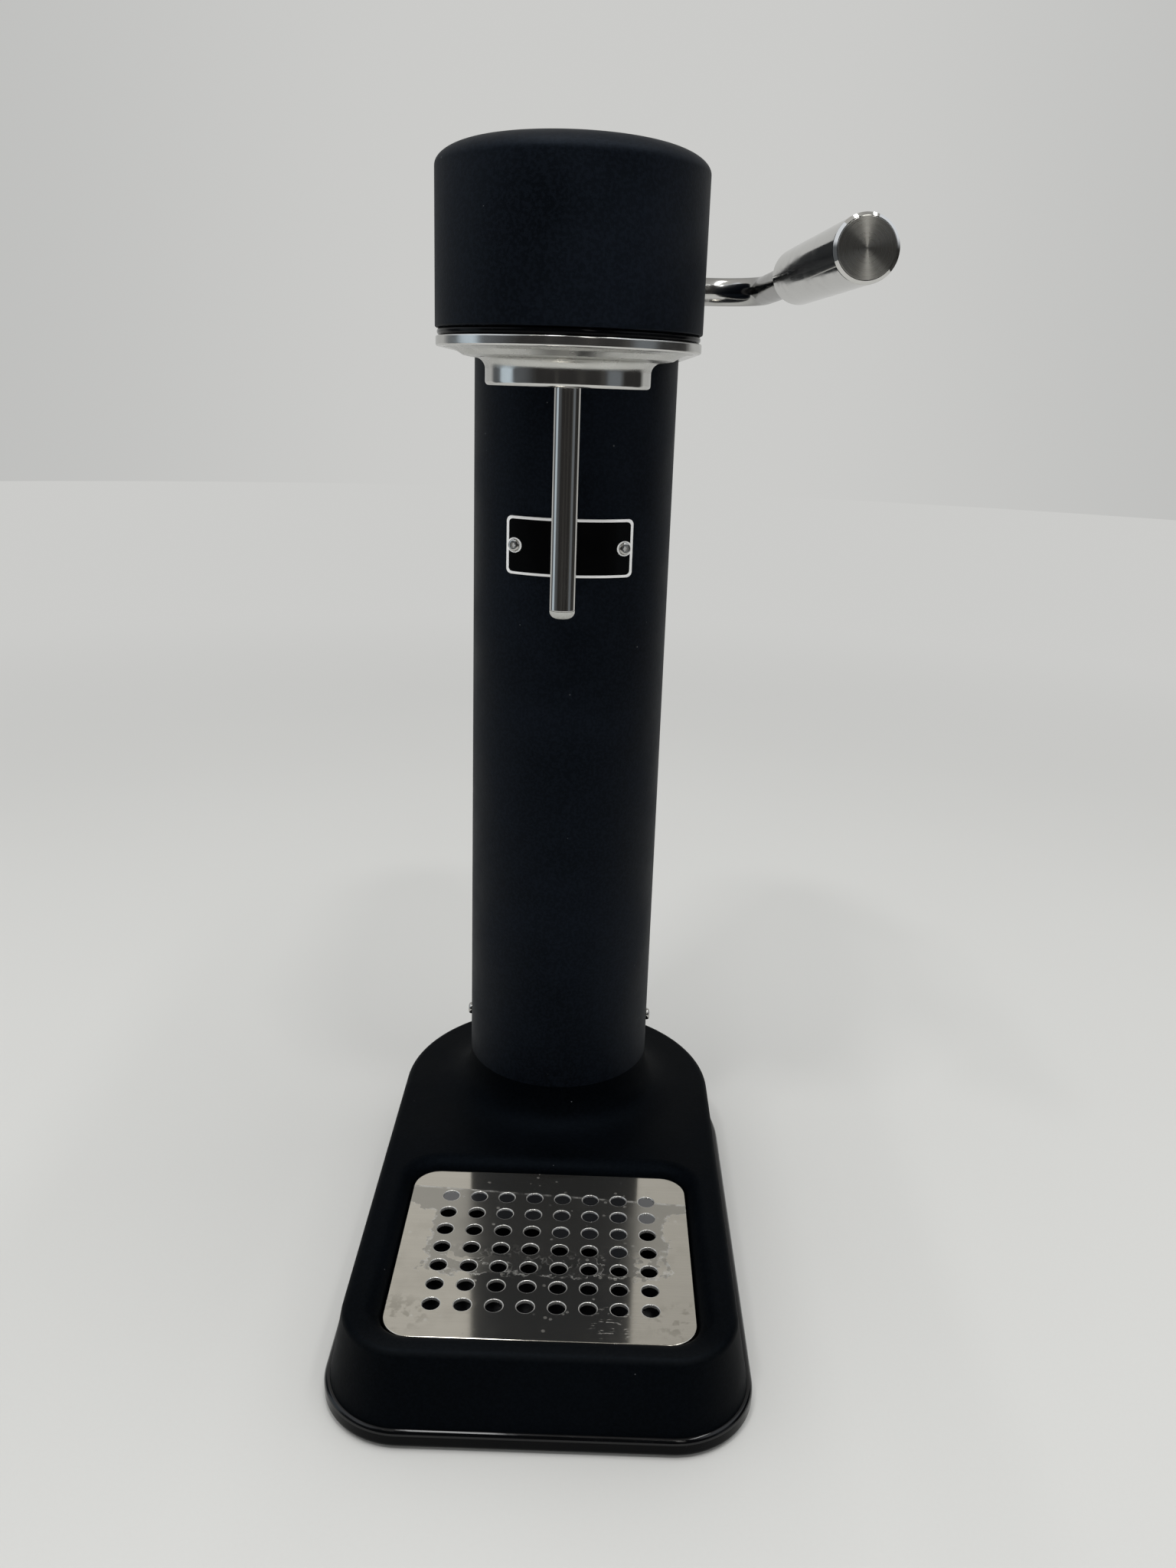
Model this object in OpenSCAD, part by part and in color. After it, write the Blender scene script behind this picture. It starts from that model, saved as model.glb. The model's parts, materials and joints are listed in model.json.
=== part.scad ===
// Sparkling water maker: a round column on a long low base, an overhanging head with a
// bottle socket and a nozzle, a side lever that opens the gas valve, and a drip tray.
// Millimetres. The origin is on the table in the middle of the base, +Z is up, the front
// is towards -Y and the lever is on the +X side.

/* [Base] */
// Width of the base
base_w = 153; // [148:0.5:165]
// Depth of the base, front to back
base_d = 258; // [252:0.5:275]
// Radius of the two front corners of the base
base_corner_r = 30; // [26:0.5:36]
// Thickness of the rubber mat under the base
mat_t = 1.2; // [0.8:0.1:2]
// How far the mat stays in from the edge of the plinth
mat_inset = 4; // [2:0.5:8]
// Thickness of the plinth
plinth_t = 6.8; // [6:0.1:10]
// Width of the bare ledge of the plinth round the base shell
plinth_ledge = 2; // [1:0.1:3]
// Height of the base shell
shell_h = 28; // [25:0.5:34]
// How far the sides of the base shell lean in
shell_lean = 3.6; // [2:0.1:5]
// Rounding of the upper edge of the base shell
shell_round = 8; // [5:0.5:10]
// Wall of the base shell
shell_wall = 2.5; // [2:0.1:3]
// Radius of the screw bosses in the base shell
boss_r = 4; // [3.6:0.1:4.4]
// Gap between the screw bosses and the tray's pocket
boss_gap = 0.3; // [0.2:0.1:0.6]
// Distance from the front row of screw bosses to the front edge
boss_front = 34; // [31:0.5:40]
// Distance between the two rows of screw bosses
boss_row = 95; // [90:0.5:100]

/* [Drip tray] */
// Width of the perforated plate
grate_w = 110.5; // [104:0.5:112]
// Distance from the perforated plate to the column
grate_to_column = 29.7; // [28:0.1:36]
// Corner radius of the perforated plate
grate_r = 10.5; // [6:0.5:12]
// Thickness of the perforated plate
grate_t = 1.2; // [0.8:0.1:2]
// How far the perforated plate lies below the deck
grate_drop = 4; // [2.5:0.1:6]
// Distance from the front edge of the base to the perforated plate
grate_setback = 17.1; // [16:0.1:22]
// Diameter of the drain holes
hole_d = 6.3; // [5:0.1:7]
// Least plain edge round the drain holes
hole_margin = 12; // [8:0.5:16]
// Spacing of the drain holes across
hole_pitch_x = 11.2; // [9:0.1:12]
// Spacing of the drain holes front to back
hole_pitch_y = 10.3; // [8.5:0.1:11]
// Gap round the perforated plate in its pocket
pocket_gap = 0.5; // [0.4:0.1:1]
// Rounding of the lip of the pocket
lip_r = 6; // [2:0.5:6.5]
// Wall of the tray
tray_wall = 1.6; // [1.2:0.1:2.5]
// How far the tray stays in from the edge of the perforated plate
tray_inset = 0.6; // [0.4:0.1:1.5]
// Depth of the deck's rim round the pocket
pocket_rim = 7; // [6.5:0.1:9]

/* [Column] */
// Radius of the column
column_r = 40; // [39:0.1:43]
// Wall of the column
column_wall = 1.2; // [0.8:0.1:1.6]
// Radius of the hollow flare at the foot of the column
flare_r = 15; // [8:0.5:16]
// Thickness of the thin edges of the flare
flare_edge = 0.8; // [0.6:0.1:1.2]
// Thickness of the flange of the column socket
socket_flange_t = 4; // [3:0.1:6]
// How far the flange of the column socket stands out past the column
socket_flange_w = 16; // [14:0.5:18]
// Height of the column socket above the deck
socket_rise = 44; // [40:0.5:60]
// Height of the side screws above the deck
column_screw_h = 34.5; // [28:0.5:36]
// Radius of the heads of the side screws
column_screw_head_r = 2.6; // [2.2:0.1:3]

/* [Badge] */
// Width of the badge plate
badge_w = 48.4; // [48:0.2:52]
// Height of the badge plate
badge_h = 22; // [18:0.2:26]
// Thickness of the badge plate
badge_t = 1.5; // [1:0.1:2]
// Corner radius of the badge plate
badge_corner_r = 2; // [1:0.1:3]
// Distance from the top of the badge plate to the underside of the head
badge_drop = 63.8; // [58:0.1:80]
// Distance of the badge screws from the middle plane
badge_screw_x = 20.3; // [18:0.1:21.2]
// Radius of the heads of the badge screws
badge_screw_head_r = 2.4; // [2:0.1:2.8]
// Height of the guide ring behind the badge
guide_h = 16; // [12:0.5:20]

/* [Head] */
// Height of the whole machine
total_h = 414; // [400:1:440]
// Height of the shell of the head
head_h = 52.3; // [51:0.1:60]
// How far the head stands out past the column
head_step = 1.5; // [1.4:0.1:3]
// Distance from the axis of the column forward to the axis of the nozzle
reach = 105.6; // [100:0.1:112]
// Rounding of the upper edge of the head
head_round = 8.5; // [5:0.5:14]
// Wall of the shell of the head
head_wall = 1.5; // [1:0.1:2]
// Thickness of the chassis plate in the head
chassis_t = 3; // [2.5:0.1:4]
// Radius of the shell's screw bosses
shell_boss_r = 4; // [3.5:0.1:4.5]
// Distance of the shell's screw bosses from the middle plane
shell_boss_x = 31; // [30:0.5:32]
// Distance of the rear shell bosses in front of the column's axis
shell_boss_rear = 34.5; // [33:0.5:38]
// Distance between the front and rear shell bosses
shell_boss_row = 46; // [42:0.5:50]

/* [Collar] */
// Thickness of the gasket between the shell and the collar plate
gasket_t = 2.4; // [1:0.1:3]
// Height of the rim of the collar plate
rim_h = 3.1; // [2.5:0.1:5]
// How far the rim of the collar plate stays in from the shell
rim_inset = 0.5; // [0.3:0.1:0.8]
// Width of the band of the rim
rim_w = 2; // [1.8:0.1:3]
// Thickness of the sheet of the collar plate
plate_t = 1.5; // [1:0.1:1.8]
// How far the underside of the plate falls from rim to collar
dish_drop = 2.8; // [2:0.1:4]
// Outer radius of the collar
collar_r = 26; // [25:0.1:28]
// Wall of the collar
collar_wall = 2.5; // [2:0.1:3]
// How far the collar hangs below the rim
collar_drop = 11; // [10:0.1:13]
// Hollow rounding between plate and collar
collar_fillet = 3; // [1.5:0.1:4]

/* [Bottle fitting] */
// Wall of the skirt of the bottle socket
skirt_wall = 2.9; // [2.4:0.1:3.4]
// How far the skirt ends above the edge of the collar
skirt_recess = 1.1; // [0.6:0.1:2]
// Number of bayonet lugs
lug_count = 4; // [3:1:6]
// How far the lugs reach inward
lug_reach = 2; // [1:0.1:2.4]
// Width of a lug
lug_w = 8; // [5:0.5:10]
// Height of a lug
lug_h = 2.5; // [2:0.1:2.8]
// Thickness of the disc of the bottle socket
disc_t = 8.5; // [8:0.1:9]
// Thickness of the bottle seal
bottle_seal_t = 2; // [1.5:0.1:2.4]
// Inner radius of the bottle seal
bottle_seal_r = 12.5; // [12.2:0.1:14]
// Outer radius of the nozzle tube
nozzle_r = 4.2; // [4:0.1:5]
// Wall of the nozzle tube
nozzle_wall = 1.2; // [0.8:0.1:1.5]
// Distance from the underside of the head down to the end of the nozzle
nozzle_drop = 89.8; // [80:0.5:110]
// Height of the tip of the nozzle
tip_h = 2.7; // [2:0.1:3.5]
// Radius of the jet in the tip
jet_r = 0.6; // [0.4:0.1:0.8]
// Radius of the body of the nozzle carrier
carrier_r = 8; // [7.5:0.1:8.4]

/* [Gas valve] */
// Radius of the gas cylinder
cylinder_r = 30; // [28:0.1:31]
// Wall of the gas cylinder
cylinder_wall = 3; // [2:0.1:4]
// Height of the foot of the gas cylinder above the table
cylinder_foot = 6; // [4:0.5:12]
// Radius of the threaded stub of the cylinder valve
stub_r = 10.5; // [10:0.1:11]
// Length of the threaded stub of the cylinder valve
stub_l = 18; // [16:0.5:22]
// Free space round the gas cylinder in the base
bay_gap = 3; // [2:0.1:3.4]
// Travel of the plunger over the whole turn of the lever
stroke = 3; // [2:0.1:3.2]
// Radius of the stem of the plunger
stem_r = 3; // [2.6:0.1:3.4]
// Radius of the head of the plunger
plunger_head_r = 8; // [7.5:0.1:8.5]
// Thickness of the head of the plunger
plunger_head_t = 3; // [2:0.1:3.5]
// Radius of the valve pin
pin_r = 2; // [1.5:0.1:2.4]
// Wire radius of the return spring
spring_wire_r = 0.6; // [0.4:0.05:0.7]
// Turns of the return spring
spring_turns = 4; // [3:1:5]
// Radius of the gas pipe
pipe_r = 2.5; // [2.2:0.1:3]
// Bend radius of the gas pipe
pipe_bend_r = 8; // [7:0.5:9]

/* [Lever] */
// Distance from the top of the head down to the lever's axis
lever_drop = 31.7; // [30:0.1:33]
// Radius of the lever's rod
rod_r = 5.1; // [4.8:0.1:5.6]
// Turn of the lever from rest to fully down, in degrees
lever_turn = 45; // [35:1:50]
// Distance from the middle plane to where the rod and the grip line cross
arm_reach = 69.5; // [66:0.5:76]
// Bend radius of the lever's rod
arm_bend_r = 20; // [16:0.5:22]
// Outward splay of the grip, in degrees
splay = 3; // [0:0.5:8]
// Distance along the arm from the crossing to the grip
grip_start = 76.6; // [60:0.1:80]
// Length of the grip
grip_l = 92; // [80:0.1:100]
// Radius of the grip
grip_r = 8.85; // [8:0.05:11]
// Rounding of the rear end of the grip
grip_round = 5; // [2:0.5:7]
// Chamfer of the front end of the grip
grip_chamfer = 1; // [0.5:0.1:1.5]
// Least distance from the lever's axis to the plunger's head
cam_r = 9; // [8.9:0.1:9.6]

/* [Clearances] */
// Gap between parts that are fixed together
fit_gap = 0.05; // [0.03:0.01:0.08]
// Radial clearance of a running fit
run_gap = 0.06; // [0.03:0.01:0.09]
// Gap between parts that move past each other
free_gap = 0.3; // [0.25:0.01:0.4]
// Radius of the screws
screw_r = 1.75; // [1.5:0.05:2]
// Radius of the heads of the inner screws
screw_head_r = 3.2; // [2.8:0.1:3.4]
// Height of the heads of the inner screws
screw_head_h = 2.2; // [1.8:0.1:2.4]

/* [Hidden] */

$fn = 96;
cut = 1;
slice_t = 0.02;

// Base levels and places
column_y = base_d / 2 - base_w / 2;
plinth_top = mat_t + plinth_t;
deck_z = plinth_top + shell_h;
grate_d = column_y - column_r - grate_to_column + base_d / 2 - grate_setback;
grate_y = grate_setback + grate_d / 2 - base_d / 2;
hole_columns = floor((grate_w - 2 * hole_margin - hole_d) / hole_pitch_x) + 1;
hole_rows = floor((grate_d - 2 * hole_margin - hole_d) / hole_pitch_y) + 1;
grate_top = deck_z - grate_drop;
tray_top = grate_top - grate_t;
pocket_floor = plinth_top + shell_wall;
pocket_rim_z = deck_z - pocket_rim;
pocket_w = grate_w + 2 * pocket_gap;
pocket_d = grate_d + 2 * pocket_gap;
pocket_r = grate_r + pocket_gap;
bay_r = cylinder_r + bay_gap;
boss_x = grate_w / 2 + pocket_gap + shell_wall + boss_gap + boss_r;
boss_front_y = boss_front - base_d / 2;
boss_spots = [for (sx = [-1, 1], row = [0, boss_row]) [sx * boss_x, boss_front_y + row]];
boss_bite = 8;
boss_screw_l = plinth_t + boss_bite;

// Column levels
socket_flange_z = plinth_top + socket_flange_t;
socket_tube_r = column_r - column_wall - fit_gap;
flange_r = column_r + socket_flange_w;
flange_screw_ring = column_r + socket_flange_w / 2;
flange_screw_turns = [45, 135, 225, 315];
column_screw_z = deck_z + column_screw_h;
column_screw_l = 6;
column_screw_head_h = 1.5;
column_screw_r = 1.5;

// Head levels
head_z = total_h - head_h;
head_y = column_y - reach;
head_r = column_r + head_step;
chassis_top = head_z + chassis_t;
chassis_r = head_r - head_wall - free_gap;
chassis_ring_wall = 2.5;
chassis_ring_h = 16;
valve_well_r = 26;
shell_boss_spots = [for (sx = [-1, 1], row = [0, shell_boss_row])
  [sx * shell_boss_x, column_y - shell_boss_rear - row]];
shell_screw_l = chassis_t + boss_bite;
badge_top = head_z - badge_drop;
badge_mid = badge_top - badge_h / 2;
badge_screw_turn = asin(badge_screw_x / column_r);
badge_screw_r = 1.5;
badge_screw_head_h = 1;
badge_screw_bite = 4.5;
badge_screw_l = badge_t + column_wall + badge_screw_bite;

// Collar levels
rim_r = head_r - rim_inset;
rim_top = head_z - gasket_t;
rim_z = rim_top - rim_h;
collar_z = rim_z - collar_drop;
dish_r = rim_r - rim_w / 2;
collar_bore_r = collar_r - collar_wall;
column_hole_r = column_r + free_gap;

// Bottle fitting levels
skirt_r = collar_bore_r - fit_gap;
skirt_bore_r = skirt_r - skirt_wall;
skirt_z = collar_z + skirt_recess;
disc_z = head_z - disc_t;
seal_z = disc_z - bottle_seal_t;
carrier_stand = 2;
carrier_z = seal_z - carrier_stand;
carrier_flange_w = 4;
carrier_flange_r = carrier_r + carrier_flange_w;
carrier_flange_t = 3;
nozzle_z = head_z - nozzle_drop;
nozzle_seat_l = 9;
nozzle_top = carrier_z + nozzle_seat_l;
nozzle_bore_r = nozzle_r - nozzle_wall;
gas_bore_r = 1.5;
socket_screw_ring = 18;
socket_screw_bite = 6;
socket_screw_l = chassis_t + socket_screw_bite;
relief_x = -14;
relief_y = head_y - relief_x;
relief_r = 4;
relief_hex_r = 6.5;
relief_hex_h = 6;
relief_cap_r = 5;
relief_cap_h = 8;
relief_port_r = 10.3;
vent_r = 1.2;

// Lever and gas valve levels
shaft_z = total_h - lever_drop;
cam_gap = 0.2;
cam_rate = stroke / (lever_turn * PI / 180);
plunger_top = shaft_z - cam_r - cam_gap;
plunger_seat = plunger_top - plunger_head_t;
block_wall = 12.5;
block_r = stub_r + block_wall;
block_side_gap = 0.7;
block_flange_r = socket_tube_r - chassis_ring_wall - block_side_gap;
block_flange_t = 3.5;
block_screw_ring = 31;
block_screw_turns = [70, 110, 250, 290];
block_screw_l = chassis_t + block_flange_t - free_gap;
spring_pocket_l = 4;
spring_seat = head_z - spring_pocket_l;
spring_pocket_r = 6.2;
spring_side_gap = 2;
spring_r = stem_r + spring_side_gap;
stem_guide_l = 8;
guide_z = spring_seat - stem_guide_l;
chamber_h = 3.5;
chamber_z = guide_z - chamber_h;
chamber_side_gap = 1;
chamber_r = stem_r + chamber_side_gap;
cylinder_seal_t = 2;
valve_top = chamber_z - cylinder_seal_t - free_gap;
block_z = chamber_z - stub_l;
pin_stand = 0.7;
pin_top = valve_top + pin_stand;
stem_z = pin_top + free_gap;
pin_l = 15;
seal_ring_r = 0.75;
seal_groove_z = guide_z + stem_guide_l / 2;
stub_z = valve_top - stub_l;
valve_flange_w = 2.5;
valve_flange_r = stub_r + valve_flange_w;
valve_flange_t = 1.7;
valve_well_l = 8;
neck_r = 14;
neck_h = 6;
neck_bore_r = 8;
plug_l = 8;
shoulder_r = cylinder_r - neck_r;
shoulder_z = stub_z - neck_h - shoulder_r;
cylinder_edge_r = 6;

// Gas pipe places
spigot_h = 9.5;
pipe_seat = chassis_top + spigot_h;
pipe_rise = 8;
spigot_r = 5;
spigot_x = 14;
spigot_y = column_y - spigot_x;
nut_r = 9;
nut_below = 6;
nut_above = 4;
pipe_run = norm([spigot_x, spigot_y - head_y]);
pipe_turn = atan2(head_y - spigot_y, -spigot_x);

// Lever places
cheek_x = 31;
cheek_t = 6;
cheek_r = 12;
bush_wall = 1.9;
bush_flange_r = 9;
bush_flange_t = 1;
bush_r = rod_r + run_gap + bush_wall;
clip_x = cheek_x + cheek_t / 2 + bush_flange_t + free_gap;
clip_t = 1.2;
clip_r = 8;
groove_depth = 0.75;
groove_r = rod_r - groove_depth;
tail_end = 1.5;
rod_tail = clip_x + clip_t + tail_end;
cam_w = 8;
cam_hub_step = 0.7;
cam_hub_r = cam_r - cam_hub_step;
cam_hub_w = 18;
cam_screw_r = 1.5;
cam_screw_x = 6.5;
grommet_wall = 2;
grommet_flange = 1.2;
grommet_flange_t = 0.8;
arm_turn = 90 - splay;
arm_tangent = arm_bend_r * tan(arm_turn / 2);
grip_bore_l = 32;

// Flat outline of the base, drawn in by an inset
module base_outline(inset = 0) {
  corner_x = base_w / 2 - base_corner_r;
  corner_y = base_corner_r - base_d / 2;
  translate([0, column_y]) circle(base_w / 2 - inset);
  for (sx = [-1, 1])
    translate([sx * corner_x, corner_y]) circle(base_corner_r - inset);
  translate([-corner_x, inset - base_d / 2])
    square([2 * corner_x, base_corner_r]);
  translate([inset - base_w / 2, corner_y])
    square([base_w - 2 * inset, column_y - corner_y]);
}

// One thin slice of the base, drawn in by an inset, at a height
module base_slice(inset, z) {
  corner_x = base_w / 2 - base_corner_r;
  corner_y = base_corner_r - base_d / 2;
  translate([0, column_y, z - slice_t])
    cylinder(r = base_w / 2 - inset, h = slice_t, $fn = 72);
  for (sx = [-1, 1])
    translate([sx * corner_x, corner_y, z - slice_t])
      cylinder(r = base_corner_r - inset, h = slice_t, $fn = 72);
}

// Leaning base form with a rounded upper edge, from a foot level to a top level
module base_form(foot_inset, foot_z, top_z, edge_r) {
  hull() {
    base_slice(foot_inset, foot_z + slice_t);
    for (turn = [0 : 15 : 90])
      base_slice(foot_inset + shell_lean + edge_r * (1 - cos(turn)),
        top_z - edge_r * (1 - sin(turn)));
  }
}

// Flat rounded rectangle round the middle of the perforated plate
module tray_outline(w, d, r) {
  translate([0, grate_y]) {
    square([w - 2 * r, d], center = true);
    square([w, d - 2 * r], center = true);
    for (sx = [-1, 1], sy = [-1, 1])
      translate([sx * (w / 2 - r), sy * (d / 2 - r)]) circle(r);
  }
}

// Rounded rectangle of the pocket, widened all round, as a thin slice
module lip_slice(grow, z) {
  for (sx = [-1, 1], sy = [-1, 1])
    translate([sx * (pocket_w / 2 - pocket_r), grate_y + sy * (pocket_d / 2 - pocket_r), z])
      cylinder(r = pocket_r + grow, h = slice_t, $fn = 48);
}

// Sweeps a half profile (radius, height) round the long outline of the head
module round_head() {
  translate([0, column_y, 0]) rotate_extrude(angle = 180) children();
  translate([0, head_y, 0]) rotate([0, 0, 180]) rotate_extrude(angle = 180) children();
  for (side = [0, 1])
    mirror([side, 0, 0])
      translate([0, column_y, 0]) rotate([90, 0, 0]) linear_extrude(reach) children();
}

// Half profile with a rounded outer upper corner
module domed_profile(r, h, edge_r) {
  square([r - edge_r, h]);
  square([r, h - edge_r]);
  translate([r - edge_r, h - edge_r]) intersection() {
    circle(edge_r);
    square(edge_r);
  }
}

// Places children on the axis of the column or of the nozzle, at a height
module on_column(z = 0) {
  translate([0, column_y, z]) children();
}

module on_nozzle(z = 0) {
  translate([0, head_y, z]) children();
}

// Plain round tube standing up
module tube(outer_r, inner_r, h) {
  difference() {
    cylinder(r = outer_r, h = h);
    translate([0, 0, -cut]) cylinder(r = inner_r, h = h + 2 * cut);
  }
}

// Screw standing head down: the head lies below the seat and the shank rises from it
module screw(shank_r, length, head_r, head_h) {
  recess_r = head_r * 0.5;
  difference() {
    union() {
      translate([0, 0, -head_h]) cylinder(r = head_r, h = head_h);
      cylinder(r = shank_r, h = length);
    }
    translate([0, 0, -head_h - cut]) cylinder(r = recess_r, h = head_h * 0.5 + cut, $fn = 6);
  }
}

// Spots for a ring of screws round the column's axis
function ring_spots(radius, turns) =
  [for (turn = turns) [radius * cos(turn), column_y + radius * sin(turn)]];

flange_spots = ring_spots(flange_screw_ring, flange_screw_turns);
block_spots = ring_spots(block_screw_ring, block_screw_turns);
socket_spots = [for (turn = [90, 210, 330])
  [socket_screw_ring * cos(turn), head_y + socket_screw_ring * sin(turn)]];

// Base
module foot_mat() {
  color("#202124")
    linear_extrude(mat_t) difference() {
      base_outline(mat_inset);
      translate([0, column_y]) circle(bay_r);
    }
}

module plinth() {
  color("#0b0c0e") difference() {
    translate([0, 0, mat_t]) linear_extrude(plinth_t) difference() {
      base_outline();
      translate([0, column_y]) circle(bay_r);
    }
    for (spot = concat(boss_spots, flange_spots)) translate([spot.x, spot.y, mat_t - cut]) {
      cylinder(r = screw_r + free_gap, h = plinth_t + 2 * cut);
      cylinder(r = screw_head_r + free_gap, h = screw_head_h + cut);
    }
  }
}

module plinth_screws() {
  color("#9a9da1") {
    for (spot = boss_spots)
      translate([spot.x, spot.y, mat_t + screw_head_h])
        screw(screw_r, boss_screw_l - screw_head_h, screw_head_r, screw_head_h);
    for (spot = flange_spots)
      translate([spot.x, spot.y, mat_t + screw_head_h])
        screw(screw_r, plinth_t + socket_flange_t - screw_head_h, screw_head_r, screw_head_h);
  }
}

module base_shell() {
  half_wall = shell_wall / 2;
  color("#12161c") difference() {
    union() {
      difference() {
        base_form(plinth_ledge, plinth_top, deck_z, shell_round);
        base_form(plinth_ledge + shell_wall, plinth_top - cut, deck_z - shell_wall,
          shell_round - shell_wall);
      }
      translate([0, 0, pocket_rim_z]) linear_extrude(pocket_rim - half_wall)
        tray_outline(pocket_w + 2 * shell_wall, pocket_d + 2 * shell_wall, pocket_r + shell_wall);
      intersection() {
        base_form(plinth_ledge + half_wall, plinth_top, deck_z - half_wall, shell_round - half_wall);
        for (spot = boss_spots)
          translate([spot.x, spot.y, plinth_top]) cylinder(r = boss_r, h = shell_h);
      }
    }
    translate([0, 0, plinth_top])
      linear_extrude(shell_h + cut) tray_outline(pocket_w, pocket_d, pocket_r);
    for (turn = [0, 30, 60]) hull() {
      lip_slice(lip_r * (1 - cos(turn)), deck_z - lip_r * (1 - sin(turn)));
      lip_slice(lip_r * (1 - cos(turn + 30)), deck_z - lip_r * (1 - sin(turn + 30)));
    }
    on_column(plinth_top) cylinder(r = column_hole_r, h = shell_h + cut);
    for (spot = boss_spots)
      translate([spot.x, spot.y, plinth_top - cut])
        cylinder(r = screw_r + fit_gap, h = boss_screw_l - plinth_t + cut + free_gap);
  }
}

module tray_pocket() {
  color("#12161c") difference() {
    translate([0, 0, plinth_top]) linear_extrude(pocket_rim_z - plinth_top)
      tray_outline(pocket_w + 2 * shell_wall, pocket_d + 2 * shell_wall, pocket_r + shell_wall);
    translate([0, 0, pocket_floor]) linear_extrude(shell_h) tray_outline(pocket_w, pocket_d, pocket_r);
  }
}

// Column
module column_flare() {
  inner_r = column_hole_r;
  arc_r = inner_r + flare_edge + flare_r;
  color("#12161c") on_column(deck_z) rotate_extrude() difference() {
    translate([inner_r, 0]) square([flare_edge + flare_r, flare_edge + flare_r]);
    translate([arc_r, flare_edge + flare_r]) circle(flare_r);
  }
}

module column_socket() {
  color("#2a2d31") difference() {
    union() {
      on_column(plinth_top) cylinder(r = flange_r, h = socket_flange_t);
      on_column(plinth_top) cylinder(r = socket_tube_r, h = shell_h + socket_rise);
    }
    on_column(plinth_top - cut) cylinder(r = bay_r, h = shell_h + socket_rise + 2 * cut);
    for (spot = flange_spots) translate([spot.x, spot.y, plinth_top - cut])
      cylinder(r = screw_r + fit_gap, h = socket_flange_t + 2 * cut);
    on_column(column_screw_z) rotate([0, 90, 0])
      cylinder(r = column_screw_r + fit_gap, h = 2 * column_r, center = true);
  }
}

module column_tube() {
  color("#12161c") difference() {
    on_column(socket_flange_z) tube(column_r, column_r - column_wall, head_z - socket_flange_z);
    on_column(column_screw_z) rotate([0, 90, 0])
      cylinder(r = column_screw_r + fit_gap, h = 2 * column_r + 2 * cut, center = true);
    for (side = [-1, 1])
      on_column(badge_mid) rotate([0, 0, side * badge_screw_turn]) rotate([90, 0, 0])
        cylinder(r = badge_screw_r + fit_gap, h = column_r + cut);
  }
}

module column_screws() {
  color("#b4b7bb") for (side = [0, 180])
    on_column(column_screw_z) rotate([0, 0, side]) translate([column_r, 0, 0])
      rotate([0, -90, 0])
        screw(column_screw_r, column_screw_l, column_screw_head_r, column_screw_head_h);
}

module cylinder_guide() {
  guide_bore_r = cylinder_r + bay_gap / 2;
  color("#2a2d31") difference() {
    on_column(badge_mid - guide_h / 2) tube(socket_tube_r, guide_bore_r, guide_h);
    for (side = [-1, 1])
      on_column(badge_mid) rotate([0, 0, side * badge_screw_turn]) rotate([90, 0, 0])
        cylinder(r = badge_screw_r + fit_gap, h = column_r);
  }
}

module badge_plate() {
  inner_r = column_r + fit_gap;
  color("#15181c") difference() {
    intersection() {
      on_column(badge_mid - badge_h / 2 - cut) tube(inner_r + badge_t, inner_r, badge_h + 2 * cut);
      on_column(badge_mid) rotate([90, 0, 0]) linear_extrude(2 * column_r) {
        square([badge_w - 2 * badge_corner_r, badge_h], center = true);
        square([badge_w, badge_h - 2 * badge_corner_r], center = true);
        for (sx = [-1, 1], sz = [-1, 1])
          translate([sx * (badge_w / 2 - badge_corner_r), sz * (badge_h / 2 - badge_corner_r)])
            circle(badge_corner_r);
      }
    }
    for (side = [-1, 1])
      on_column(badge_mid) rotate([0, 0, side * badge_screw_turn]) rotate([90, 0, 0])
        cylinder(r = badge_screw_r + fit_gap, h = 2 * column_r);
  }
}

module badge_screws() {
  seat_r = column_r + fit_gap + badge_t;
  color("#c5c8cc") for (side = [-1, 1])
    on_column(badge_mid) rotate([0, 0, side * badge_screw_turn]) translate([0, -seat_r, 0])
      rotate([-90, 0, 0]) screw(badge_screw_r, badge_screw_l, badge_screw_head_r, badge_screw_head_h);
}

// Head frame
module head_chassis() {
  color("#8d9196") difference() {
    union() {
      translate([0, 0, head_z]) round_head() square([chassis_r, chassis_t]);
      on_column(head_z - chassis_ring_h)
        tube(socket_tube_r, socket_tube_r - chassis_ring_wall, chassis_ring_h + chassis_t / 2);
      for (side = [-1, 1]) translate([side * cheek_x, column_y, 0]) {
        translate([-cheek_t / 2, -cheek_r, head_z + chassis_t / 2])
          cube([cheek_t, 2 * cheek_r, shaft_z - head_z - chassis_t / 2]);
        translate([-cheek_t / 2, 0, shaft_z]) rotate([0, 90, 0])
          cylinder(r = cheek_r, h = cheek_t);
      }
    }
    on_column(head_z - cut) cylinder(r = valve_well_r, h = chassis_t + 2 * cut);
    on_nozzle(head_z - cut) cylinder(r = carrier_r + free_gap, h = chassis_t + 2 * cut);
    translate([relief_x, relief_y, head_z - cut])
      cylinder(r = relief_r + free_gap, h = chassis_t + 2 * cut);
    for (spot = concat(block_spots, socket_spots, shell_boss_spots))
      translate([spot.x, spot.y, head_z - cut])
        cylinder(r = screw_r + free_gap, h = chassis_t + 2 * cut);
    on_column(shaft_z) rotate([0, 90, 0])
      cylinder(r = bush_r + fit_gap, h = 2 * cheek_x + 2 * cheek_t, center = true);
  }
}

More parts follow.
